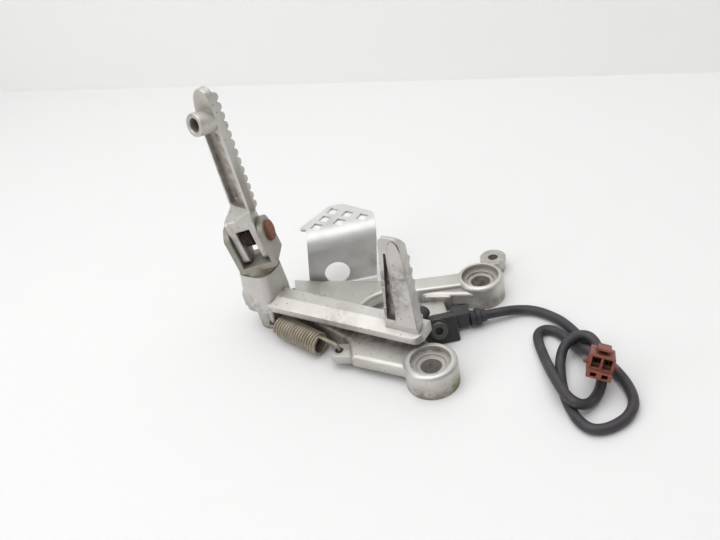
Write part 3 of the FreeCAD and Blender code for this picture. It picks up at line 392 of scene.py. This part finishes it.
TREAD_HEIGHTS = (BAR_BASE, 0.0835)
TREAD_RIGHTS = (0.0102, 0.0094)
FEELER_AT = (0.0046, 0.0685)
FEELER_R = 0.00575
FEELER_BORE = 0.0034
FEELER_LENGTH = 0.0109
FEELER_TILT = 13.0
FEELER_EDGE = 0.0006


def rounded(left, right, low, high, radius):
    """Rectangle with round corners, anticlockwise: a quarter circle about each corner's own centre."""
    quarter = np.radians(np.linspace(0, 90, 6))
    turns = []
    for x, y, start in ((right - radius, high - radius, 0), (left + radius, high - radius, 90),
                        (left + radius, low + radius, 180), (right - radius, low + radius, 270)):
        angle = quarter + math.radians(start)
        turns.append(np.column_stack((x + radius * np.cos(angle), y + radius * np.sin(angle))))
    return np.concatenate(turns)


def circle(x, y, radius, way=1):
    """Round outline, its centre plus radius times cosine and sine: anticlockwise, or clockwise for a hole."""
    angle = way * np.linspace(0, 2 * math.pi, 32, endpoint=False)
    return np.column_stack((x + radius * np.cos(angle), y + radius * np.sin(angle)))


def hull(points):
    """Mesh of the smallest form without hollows that holds all the points."""
    form = bmesh.new()
    for point in points:
        form.verts.new(point)
    bmesh.ops.convex_hull(form, input=form.verts[:])
    mesh = bpy.data.meshes.new("hull")
    form.to_mesh(mesh)
    form.free()
    return mesh


pin_out = PIN_UP.cross(PIN_ALONG)
tread_out = PEG_UP.cross(PEG_RIGHT)
leg = [rounded(-ROOT_DEPTH / 2, ROOT_DEPTH / 2, ROOT_LOW, ROOT_TOP, ROOT_CORNER), circle(0.0, 0.0, BORE_R, -1)]
bridge = rounded(-ROOT_DEPTH / 2, ROOT_DEPTH / 2, WINDOW_TOP, ROOT_TOP, BRIDGE_CORNER)
peg_parts = [plate(leg, LEG, LEG_EDGE, stand(PEG_PIN + PIN_ALONG * side * (WINDOW + LEG) / 2, pin_out, PIN_UP))
             for side in (-1, 1)]
peg_parts.append(plate([bridge], WINDOW + LEG, BRIDGE_EDGE, stand(PEG_PIN, pin_out, PIN_UP)))
neck = [PEG_PIN + PIN_ALONG * x + pin_out * y + PIN_UP * z
        for x in (-NECK_HALF, NECK_HALF) for y, z in NECK_ROOT]
neck += [PEG_PIN + PEG_RIGHT * x + tread_out * y + PEG_UP * NECK_TOP for x in NECK_SIDES for y in NECK_FACES]
peg_parts.append(hull(neck))
hollow = rounded(*HOLLOW, HOLLOW_CORNER)[::-1]
peg_parts.append(plate([BAR, hollow], RIM, BAR_EDGE, stand(PEG_PIN + tread_out * RIM_OUT, PEG_RIGHT, PEG_UP)))
peg_parts.append(plate([BAR], HOLLOW_FLOOR, BAR_EDGE,
                       stand(PEG_PIN + tread_out * HOLLOW_FLOOR_OUT, PEG_RIGHT, PEG_UP)))
wrap = np.radians(np.linspace(-TOOTH_WRAP, TOOTH_WRAP, 20))
tooth = TOOTH_R * np.column_stack((np.cos(wrap), np.sin(wrap)))
for z in np.arange(FIRST_TOOTH, PEG_LENGTH - TIP_CLEAR, TOOTH_PITCH):
    left = float(np.interp(z, TIP_HEIGHTS, TIP_LEFTS))
    right = float(np.interp(z, TREAD_HEIGHTS, TREAD_RIGHTS))
    middle = PEG_PIN + PEG_RIGHT * (left + right) / 2 + tread_out * TOOTH_R + PEG_UP * z
    peg_parts.append(plate([tooth], right - left, TOOTH_EDGE, stand(middle, tread_out, PEG_UP)))
tilt = math.radians(FEELER_TILT)
feeler_out = PEG_UP * math.sin(tilt) - tread_out * math.cos(tilt)
feeler_base = PEG_PIN + PEG_RIGHT * FEELER_AT[0] + PEG_UP * FEELER_AT[1]
feeler = [circle(0.0, 0.0, FEELER_R), circle(0.0, 0.0, FEELER_BORE, -1)]
middle = feeler_base + feeler_out * FEELER_LENGTH / 2
peg_parts.append(plate(feeler, FEELER_LENGTH, FEELER_EDGE,
                       stand(middle, PEG_RIGHT, feeler_out.cross(PEG_RIGHT))))
footpeg = joined("peg_casting", peg_parts, peg)
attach(footpeg, "peg")
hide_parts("footpeg")

# Pin and clip: plain steel, the pin turned and the clip stamped, both gone rusty.
# The pin goes through the ears and the peg's legs, and the clip keeps it there.

# Bare steel gone to rust: matt red-brown in blotches, with painted shade and grime in the corners.
rust, tree, shader = surface(
    "rusty_steel", {"Base Color": linear("#774737"), "Metallic": 0.1, "Roughness": 0.70}, 0.0003)
shades(tree, shader, "#875A48", 0.0025, 0.7)
corner_grime_and_shade(tree, shader, "#4A2A20", 0.004, 0.8, 0.3)
grain(tree, shader, 0.0004, 0.0003)
dress("peg_pin", rust)
dress("peg_pin_clip", rust)

# Peg spring: torsion spring of wire coloured nearly black, as painted shade of the peg's window.
# It is wound round the pin inside the peg's window, and holds the peg out.

# Spring wire coloured nearly black, painted shade of the window it sits in, with a dull gleam.
dark_wire, tree, shader = surface(
    "dark_wire", {"Base Color": linear("#403B36"), "Metallic": 0.6, "Roughness": 0.50}, 0.0)
shades(tree, shader, "#2B2623", 0.003, 0.7)
grain(tree, shader, 0.0006, 0.0001)
dress("peg_return_spring", dark_wire)

# Brake pedal: aluminium casting with hub, arm and toothed toe piece in one.
# It turns on the clevis shaft, on a bronze bush pressed in the hub.
# Road dirt and painted shade darken the toe piece's groove, and road dirt darkens its pores.

# Sand-cast aluminium, rubbed by boots: edges painted paler as wear and highlight, dark pores, and painted
# shade in the corners.
pedal, tree, shader = surface(
    "pedal_aluminium", {"Base Color": linear("#D5D3CF"), "Metallic": 0.8, "Roughness": 0.42}, 0.0008)
shades(tree, shader, "#B5AFA9", 0.018, 0.5)
rubbed_and_highlit_edges(tree, shader, "#EFEDE9", 0.75)
pores(tree, shader, "#6E625B", 0.0024, 0.38)
corner_grime_and_shade(tree, shader, "#665650", 0.009, 1.2, 0.4)
# Darkest in the toe piece's groove, by its left flange: painted shade in the pocket, and road dirt.
stain_and_shade_patch(tree, shader, "#4F3F3E", (-0.0141, 0.0206, 0.0350), 0.0085, 1.0)
stain_and_shade_patch(tree, shader, "#6B5A57", (-0.0138, 0.0195, 0.0500), 0.0110, 0.85)
stain_and_shade_patch(tree, shader, "#6A5A56", (-0.0060, 0.0130, 0.0560), 0.0090, 0.65)
stain_and_shade_patch(tree, shader, "#7A6B66", (-0.0077, 0.0143, 0.0420), 0.0080, 0.55)
stain_and_shade_patch(tree, shader, "#75685F", (-0.0864, 0.0683, 0.0180), 0.0100, 0.6)
stain_and_shade_patch(tree, shader, "#85786E", (-0.0430, 0.0350, 0.0170), 0.0160, 0.45)
grain(tree, shader, 0.0006, 0.0002)
dress("brake_pedal", pedal)
TOE_MIDDLE = Vector((-0.0107, 0.0165, 0.0))
TOE_ALONG = Vector((0.8080, -0.5892, 0.0))
TOE_SKIN = 0.0006
TOE_EDGE = 0.0002
TOE_GAP = 0.00002
TOE_FACE = [(-0.0017, 0.0250), (0.0099, 0.0250), (0.0088, 0.0480), (0.0073, 0.0700), (0.0060, 0.0742),
            (0.0036, 0.0756), (0.0014, 0.0735), (0.0007, 0.0660), (0.0000, 0.0470)]
toe_place = stand(TOE_MIDDLE + TOE_ALONG.cross(up) * (TOE_SKIN / 2 + TOE_GAP), TOE_ALONG, up)
toe_face = joined("toe_face", [plate([TOE_FACE], TOE_SKIN, TOE_EDGE, toe_place)], pedal)
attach(toe_face, "pedal")
# Sintered bronze: a warm brown metal, slightly dull.
bronze, tree, shader = surface(
    "bush_bronze", {"Base Color": linear("#A5824E"), "Metallic": 1.0, "Roughness": 0.4}, 0.0002)
shades(tree, shader, "#7C5F38", 0.003, 0.5)
dress("pedal_bush", bronze)

# Pedal return spring: close-wound extension spring of zinc-plated wire, dulled to olive brown.
# One end is a loop on the post under the pedal arm, the other a hook through the hanger's lug.
POST = Vector((-0.075788, 0.062235, 0.0073))
LUG = Vector((-0.043, 0.026, 0.0073))
WIRE = 0.0020
COIL_R = 0.0053
LOOP_R = 0.00295
LOOP_ARC = (-60.0, 270.0)
COIL_START = 0.00415
TURNS = 16
TURN_STEPS = 24
HOOK_DROPS = (0.0015, 0.0040, 0.0095)
HOOK_LEADS = (0.0003, 0.0, 0.0)


def piece(name, points, faces, material):
    """New smooth mesh object at the origin from points in metres."""
    mesh = bpy.data.meshes.new(name)
    mesh.from_pydata([tuple(p) for p in points], [], faces)
    mesh.polygons.foreach_set("use_smooth", [True] * len(mesh.polygons))
    mesh.update()
    obj = bpy.data.objects.new(name, mesh)
    bpy.context.collection.objects.link(obj)
    mesh.materials.append(material)
    return obj


def tube(path, radius, sides):
    """Points and faces of a round wire: a circle carried along a path without twist, closed at both ends."""
    along = np.gradient(path, axis=0)
    along /= np.linalg.norm(along, axis=1)[:, None]
    side = np.cross(along[0], (0.0, 0.0, 1.0))
    if np.linalg.norm(side) < 0.1:
        side = np.cross(along[0], (1.0, 0.0, 0.0))
    turn = np.linspace(0, 2 * math.pi, sides, endpoint=False)
    rings = []
    for centre, direction in zip(path, along):
        side = side - direction * np.dot(side, direction)
        side /= np.linalg.norm(side)
        other = np.cross(direction, side)
        rings.append(centre + radius * (np.cos(turn)[:, None] * side + np.sin(turn)[:, None] * other))
    points = np.concatenate(rings)
    near, spot = np.meshgrid(np.arange(len(path) - 1) * sides, np.arange(sides), indexing="ij")
    after = (spot + 1) % sides
    quads = np.stack((near + spot, near + after, near + sides + after, near + sides + spot), axis=-1)
    faces = quads.reshape(-1, 4).tolist()
    faces.append(tuple(range(sides - 1, -1, -1)))
    faces.append(tuple(range(len(points) - sides, len(points))))
    return points, faces


# Zinc-plated wire, dulled: olive brown, with a soft light on each turn and painted shade between the turns.
wire, tree, shader = surface(
    "spring_wire", {"Base Color": linear("#A39B8C"), "Metallic": 0.7, "Roughness": 0.42}, 0.0)
shades(tree, shader, "#857A66", 0.006, 0.8)
corner_grime_and_shade(tree, shader, "#4D463C", 0.0028, 0.8, 0.4)
grain(tree, shader, 0.0007, 0.0001)
post, lug, above = np.array(POST), np.array(LUG), np.array(up)
run = np.array((LUG - POST).normalized())
across = np.array((run[1], -run[0], 0.0))
arc = np.radians(np.linspace(*LOOP_ARC, 40))[:, None]
loop = post + LOOP_R * (np.cos(arc) * run + np.sin(arc) * across)
share = np.linspace(0, 1, TURNS * TURN_STEPS + 7)[:, None]
angle = 2 * math.pi * (TURNS + 0.25) * share
helix = post + run * (COIL_START + WIRE / 2 + WIRE * (TURNS - 1) * share)
helix += COIL_R * (np.cos(angle) * across + np.sin(angle) * above)
mouth = helix[-1]
bend = lug + above * (mouth[2] - lug[2])
hook = mouth + (bend - mouth) * np.linspace(0.15, 0.85, 8)[:, None]
tail = bend - above * np.array(HOOK_DROPS)[:, None] + run * np.array(HOOK_LEADS)[:, None]
spring = piece("pedal_spring", *tube(np.concatenate((loop, helix, hook, tail)), WIRE / 2, 10), wire)
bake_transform(spring)
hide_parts("pedal_return_spring")

# Brake light switch: moulded black plastic case with its plunger snout, set in the hanger's fork.
# A hexagon socket screw with a washer holds it; the plunger bears on the pedal's tang.

# Moulded nylon: black, with a low sheen, edges painted grey as wear and highlight, and a paler grey in its
# corners.
black, tree, shader = surface("switch_black", {"Base Color": linear("#2B2A2E"), "Roughness": 0.46}, 0.0004)
shades(tree, shader, "#38363A", 0.006, 0.7)
rubbed_and_highlit_edges(tree, shader, "#55535A", 0.6)
corner_grime_and_shade(tree, shader, "#4A4744", 0.006, 0.5, 0.25)
grain(tree, shader, 0.0006, 0.0001)
SWITCH_FOOT = Vector((0.0105, 0.0244, 0.0006))
SWITCH_LEAN = math.radians(65.0)
SWITCH_UP = Vector((0.0, math.cos(SWITCH_LEAN), math.sin(SWITCH_LEAN)))
SWITCH_DEPTH = 0.0100
CASE = (-0.0090, 0.0090, -0.0060, 0.0136, 0.0020)
CASE_EDGE = 0.0008
SCREW_AT = (-0.0015, 0.0080)
SCREW_R = 0.0026
OUTLET = (0.0181, 0.0271, 0.0312, 0.0392, 0.0015)
OUTLET_HEIGHT = 0.0084
OUTLET_MIDDLE = 0.0070
OUTLET_EDGE = 0.0006
TANG_FACE = Vector((-0.0047185, 0.0247667, 0.01435))
PLUNGE = Vector((0.58920, 0.80799, 0.0))
SNOUT = 0.0090
SNOUT_START = 0.0060
SNOUT_R = 0.0035
SNOUT_BORE = 0.0022
SNOUT_EDGE = 0.0003
switch_out = sideways.cross(SWITCH_UP)
case = plate([rounded(*CASE), circle(*SCREW_AT, SCREW_R, -1)], SWITCH_DEPTH, CASE_EDGE,
             stand(SWITCH_FOOT - switch_out * SWITCH_DEPTH / 2, sideways, SWITCH_UP))
outlet = plate([rounded(*OUTLET)], OUTLET_HEIGHT, OUTLET_EDGE,
               stand(up * OUTLET_MIDDLE, sideways, up.cross(sideways)))
snout = plate([circle(0.0, 0.0, SNOUT_R), circle(0.0, 0.0, SNOUT_BORE, -1)], SNOUT, SNOUT_EDGE,
              stand(TANG_FACE + PLUNGE * (SNOUT_START + SNOUT / 2), up, PLUNGE.cross(up)))
switch = joined("switch_case", [case, outlet, snout], black, SWITCH_FOOT.z)
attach(switch, "hanger")
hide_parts("switch_body")
# Moulded acetal: smooth ivory, a little stained.
ivory, tree, shader = surface("plunger_plastic", {"Base Color": linear("#CBC5B4"), "Roughness": 0.4}, 0.0003)
shades(tree, shader, "#A89F8B", 0.003, 0.5)
dress("switch_plunger", ivory)
# Phosphated steel: dark grey and half dull, with painted shade and grime in the corners.
grey_steel, tree, shader = surface(
    "grey_screw", {"Base Color": linear("#6A6A65"), "Metallic": 0.8, "Roughness": 0.44}, 0.0003)
shades(tree, shader, "#504E48", 0.003, 0.6)
corner_grime_and_shade(tree, shader, "#33302C", 0.004, 0.9, 0.4)
grain(tree, shader, 0.0006, 0.0001)
dress("switch_screw", grey_steel)
dress("switch_washer", grey_steel)

# Boot: moulded rubber sleeve with a bead round it.
# It sits against the switch's outlet, and seals the lead's way in.

# Moulded rubber: matt black, greyed by dust.
rubber, tree, shader = surface("black_rubber", {"Base Color": linear("#2D2C2F"), "Roughness": 0.60}, 0.0003)
shades(tree, shader, "#413E40", 0.005, 0.7)
grain(tree, shader, 0.0005, 0.0001)
dress("switch_boot", rubber)

# Lead: sheathed two-core lead, black vinyl gone dull, laid in loose turns on the floor.
# It leaves the boot level and ends in the connector; its route is given in millimetres.
LEAD_D = 0.005
LEAD_ROUTE = [
    (35.5, 34.0, 5.4), (43.5, 34.0, 5.4), (53.0, 35.6, 3.2), (62.5, 32.2, 2.6), (70.5, 22.1, 2.6),
    (73.6, 14.1, 2.6), (75.4, 6.8, 2.6), (77.0, -1.5, 2.6), (79.3, -9.6, 2.6), (82.0, -16.7, 2.6),
    (83.7, -23.5, 2.6), (84.5, -30.9, 2.6), (84.2, -37.8, 2.6), (82.3, -44.1, 2.6), (77.4, -49.7, 2.6),
    (71.2, -52.7, 2.6), (64.7, -53.9, 2.6), (59.4, -52.2, 2.6), (56.4, -46.7, 2.6), (55.5, -40.1, 2.6),
    (55.4, -32.9, 2.6), (56.4, -24.5, 2.6), (58.4, -15.9, 2.6), (61.0, -8.1, 3.4), (63.8, -3.9, 6.6),
    (68.2, -0.7, 8.6), (73.5, 0.7, 8.9), (77.6, -0.7, 8.6), (79.2, -5.2, 8.0), (78.8, -11.5, 8.0),
    (77.4, -18.2, 7.8), (76.3, -22.6, 5.6), (74.3, -26.8, 3.0), (70.5, -32.8, 2.6), (65.4, -38.0, 3.4),
    (60.3, -41.1, 6.0), (56.6, -39.8, 7.8), (54.6, -34.9, 8.0), (53.8, -28.3, 8.0), (53.8, -19.3, 6.4),
    (54.3, -8.9, 4.0), (55.0, 3.3, 2.6), (55.9, 11.6, 2.6), (58.1, 15.6, 2.6), (62.2, 16.6, 2.6),
    (65.9, 14.2, 2.6), (68.6, 8.4, 2.6), (70.8, 1.9, 2.6), (72.3, -5.4, 5.2), (73.4, -14.2, 11.2),
    (75.2, -22.6, 13.6)]
# Extruded vinyl: charcoal, with one soft line of light along it.
vinyl, tree, shader = surface("black_vinyl", {"Base Color": linear("#2E2C30"), "Roughness": 0.48}, 0.0)
shades(tree, shader, "#454145", 0.012, 0.8)
grain(tree, shader, 0.0008, 0.00015)
curve = bpy.data.curves.new("lead_line", "CURVE")
curve.dimensions = "3D"
curve.bevel_depth = LEAD_D / 2
curve.bevel_resolution = 5
curve.resolution_u = 10
curve.use_fill_caps = True
line = curve.splines.new("NURBS")
line.points.add(len(LEAD_ROUTE) - 1)
route = np.column_stack((np.array(LEAD_ROUTE) / 1000, np.ones(len(LEAD_ROUTE))))
line.points.foreach_set("co", route.ravel())
line.order_u = 3
line.use_endpoint_u = True
curve.materials.append(vinyl)
lead = bpy.data.objects.new("lead_line", curve)
bpy.context.collection.objects.link(lead)
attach(lead, "hanger")
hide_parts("lead")

# Connector: moulded red-brown plastic housing with a slotted lip, side wings and a sprung latch.
# Two brass sockets, crimped to the lead's cores, are pushed into it from behind.
# It lies on the lead's turns, with its mouth raised.

# Moulded nylon, red-brown: half dull, paler at its edges as wear and painted highlight, and with painted shade
# in its corners.
red_brown, tree, shader = surface(
    "red_brown_plastic", {"Base Color": linear("#7C4234"), "Roughness": 0.48}, 0.0003)
shades(tree, shader, "#8A5140", 0.004, 0.7)
rubbed_and_highlit_edges(tree, shader, "#9C6352", 0.5)
corner_grime_and_shade(tree, shader, "#40231D", 0.004, 0.9, 0.5)
grain(tree, shader, 0.0008, 0.0001)
# Stamped brass, tarnished: dark brown, with a faint gleam.
brass, tree, shader = surface(
    "terminal_brass", {"Base Color": linear("#5E4C2E"), "Metallic": 0.9, "Roughness": 0.55}, 0.0)
shades(tree, shader, "#463820", 0.002, 0.7)
ENTRY = Vector(LEAD_ROUTE[-1]) / 1000
AHEAD = Vector((-0.32, -0.84, 0.43)).normalized()
ROLL = math.radians(14.0)
BACK_END = -0.0012
CAVITY_START = 0.0043
FRONT = 0.0133
LIP_END = 0.0155
HALF_WIDTH = 0.0055
HALF_HEIGHT = 0.0052
HOUSING_CORNER = 0.0008
MOULDED_EDGE = 0.0003
CAVITIES = (-0.00247, 0.00247)
CAVITY_Z = 0.0016
CAVITY_SIZE = (0.0038, 0.0049)
KEY_SLOT_Z = -0.0035
KEY_SLOT_SIZE = (0.0026, 0.0018)
LIP_START = FRONT - 0.0004
LIP_TOP = -HALF_HEIGHT + 0.0034
LIP_CORNER = 0.0004
WINGS_ALONG = (0.0055, 0.0105)
WINGS = (-0.0077, 0.0077, -0.0007, 0.0007, 0.0003)
LATCH_ALONG = (0.0026, 0.0116)
LATCH_ROOT_ALONG = (0.0026, 0.0051)
LATCH_HALF = 0.0030
LATCH_LOW = HALF_HEIGHT + 0.0016
LATCH_TOP = HALF_HEIGHT + 0.0028
LATCH_ROOT_LOW = HALF_HEIGHT - 0.0002
LATCH_CORNER = 0.0003
SOCKETS_ALONG = (CAVITY_START + 0.0003, CAVITY_START + 0.0053)
SOCKET_HALF = 0.0012
SOCKET_CORNER = 0.0003
SOCKET_HOLE = 0.0014
SOCKET_EDGE = 0.0001
flat_side = up.cross(AHEAD).normalized()
level = flat_side * math.cos(ROLL) - AHEAD.cross(flat_side) * math.sin(ROLL)
over = AHEAD.cross(level)


def slice_at(start, end, outlines, edge=MOULDED_EDGE):
    """Length of the housing: outlines drawn out between two distances from the wire entry."""
    return plate(outlines, end - start, edge, stand(ENTRY + AHEAD * (start + end) / 2, level, over))


def window(y, z, width, height):
    """Rectangular hole: its middle plus and minus half its width and height, clockwise."""
    return [(y - width / 2, z - height / 2), (y - width / 2, z + height / 2),
            (y + width / 2, z + height / 2), (y + width / 2, z - height / 2)]


outer = rounded(-HALF_WIDTH, HALF_WIDTH, -HALF_HEIGHT, HALF_HEIGHT, HOUSING_CORNER)
cavities = [window(y, CAVITY_Z, *CAVITY_SIZE) for y in CAVITIES]
slots = [window(y, KEY_SLOT_Z, *KEY_SLOT_SIZE) for y in CAVITIES]
lip = rounded(-HALF_WIDTH, HALF_WIDTH, -HALF_HEIGHT, LIP_TOP, LIP_CORNER)
latch = rounded(-LATCH_HALF, LATCH_HALF, LATCH_LOW, LATCH_TOP, LATCH_CORNER)
latch_root = rounded(-LATCH_HALF, LATCH_HALF, LATCH_ROOT_LOW, LATCH_TOP, LATCH_CORNER)
housing = joined("connector", [
    slice_at(BACK_END, CAVITY_START, [outer]),
    slice_at(CAVITY_START, FRONT, [outer] + cavities + slots),
    slice_at(LIP_START, LIP_END, [lip] + slots),
    slice_at(*WINGS_ALONG, [rounded(*WINGS)]),
    slice_at(*LATCH_ALONG, [latch]),
    slice_at(*LATCH_ROOT_ALONG, [latch_root])], red_brown)
sockets = joined("sockets", [
    slice_at(*SOCKETS_ALONG,
             [rounded(y - SOCKET_HALF, y + SOCKET_HALF, CAVITY_Z - SOCKET_HALF, CAVITY_Z + SOCKET_HALF,
                      SOCKET_CORNER),
              window(y, CAVITY_Z, SOCKET_HOLE, SOCKET_HOLE)], SOCKET_EDGE) for y in CAVITIES], brass)
for part, node in ((housing, "connector_housing"), (sockets, "connector_terminals")):
    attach(part, "hanger")
    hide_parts(node)

# Stage: a pale card for the part to lie on, and a pale board that stands behind it.
# The camera has the photograph's viewing angle, and two wide lamps and the world light it softly.

SENSOR = 36.0
LENS = 38.5
NEAR = 0.01
CAMERA_AT = Vector((-0.0241, -0.2753, 0.2669))
CAMERA_ROWS = ((0.978, 0.208, 0.0), (-0.119, 0.561, -0.819), (-0.170, 0.801, 0.574))
camera = bpy.data.objects.new("camera", bpy.data.cameras.new("camera"))
bpy.context.collection.objects.link(camera)
camera.data.sensor_width = SENSOR
camera.data.lens = LENS
camera.data.clip_start = NEAR
axes = Matrix(CAMERA_ROWS).to_quaternion().to_matrix()
camera.matrix_world = Matrix.Translation(CAMERA_AT) @ axes.to_4x4()
bpy.context.scene.camera = camera

FLOOR_GAP = 0.0002
FLOOR_Z = cad_box[0][2] - FLOOR_GAP
WALL_FOOT = (Vector((-0.3776, 0.5923, FLOOR_Z)), Vector((0.2806, 0.2662, FLOOR_Z)))
BOARD_REACH = 3.0
BOARD_HEIGHT = 2.0
wall_run = (WALL_FOOT[1] - WALL_FOOT[0]).normalized() * BOARD_REACH
wall_in = Vector((wall_run.y, -wall_run.x, 0.0))
corners = (WALL_FOOT[0] - wall_run, WALL_FOOT[1] + wall_run)
rise = up * BOARD_HEIGHT

# White card: dull, and a soft grey where the part shades it.
pale_floor, tree, shader = surface("pale_floor", {"Base Color": linear("#E8E8E8"), "Roughness": 0.55}, 0.0)
# Painted board: dull, and nearer white than the card, because less light falls on it.
pale_wall, tree, shader = surface("pale_wall", {"Base Color": linear("#F8F8F6"), "Roughness": 0.6}, 0.0)
floor = piece("floor", [*corners, corners[1] + wall_in, corners[0] + wall_in], [(0, 1, 2, 3)], pale_floor)
wall = piece("wall", [*corners, corners[1] + rise, corners[0] + rise], [(0, 1, 2, 3)], pale_wall)

world = bpy.data.worlds.new("studio")
bpy.context.scene.world = world
world.use_nodes = True
tree = world.node_tree
sky = add(tree, "ShaderNodeTexCoord", {})
height = add(tree, "ShaderNodeSeparateXYZ", {}, Vector=sky.outputs["Generated"])
glow = add(tree, "ShaderNodeMapRange", {"From Min": 0.05, "From Max": 0.5, "To Min": 0.14, "To Max": 0.5},
           Value=height.outputs["Z"])
tree.nodes["Background"].inputs["Color"].default_value = linear("#F8F8F8")
tree.links.new(glow.outputs[0], tree.nodes["Background"].inputs["Strength"])
for name, place, aim, size, power in (
        ("ceiling", (-0.1, 0.0, 1.1), (0.0, 0.05, 0.0), 1.2, 9.0),
        ("window", (-0.9, -0.3, 0.6), (0.0, 0.05, 0.03), 0.7, 3.0)):
    light = bpy.data.objects.new(name, bpy.data.lights.new(name, "AREA"))
    bpy.context.collection.objects.link(light)
    light.data.size = size
    light.data.energy = power
    light.location = place
    light.rotation_euler = (Vector(aim) - Vector(place)).to_track_quat("-Z", "Y").to_euler()
bpy.context.scene.view_settings.view_transform = "Standard"
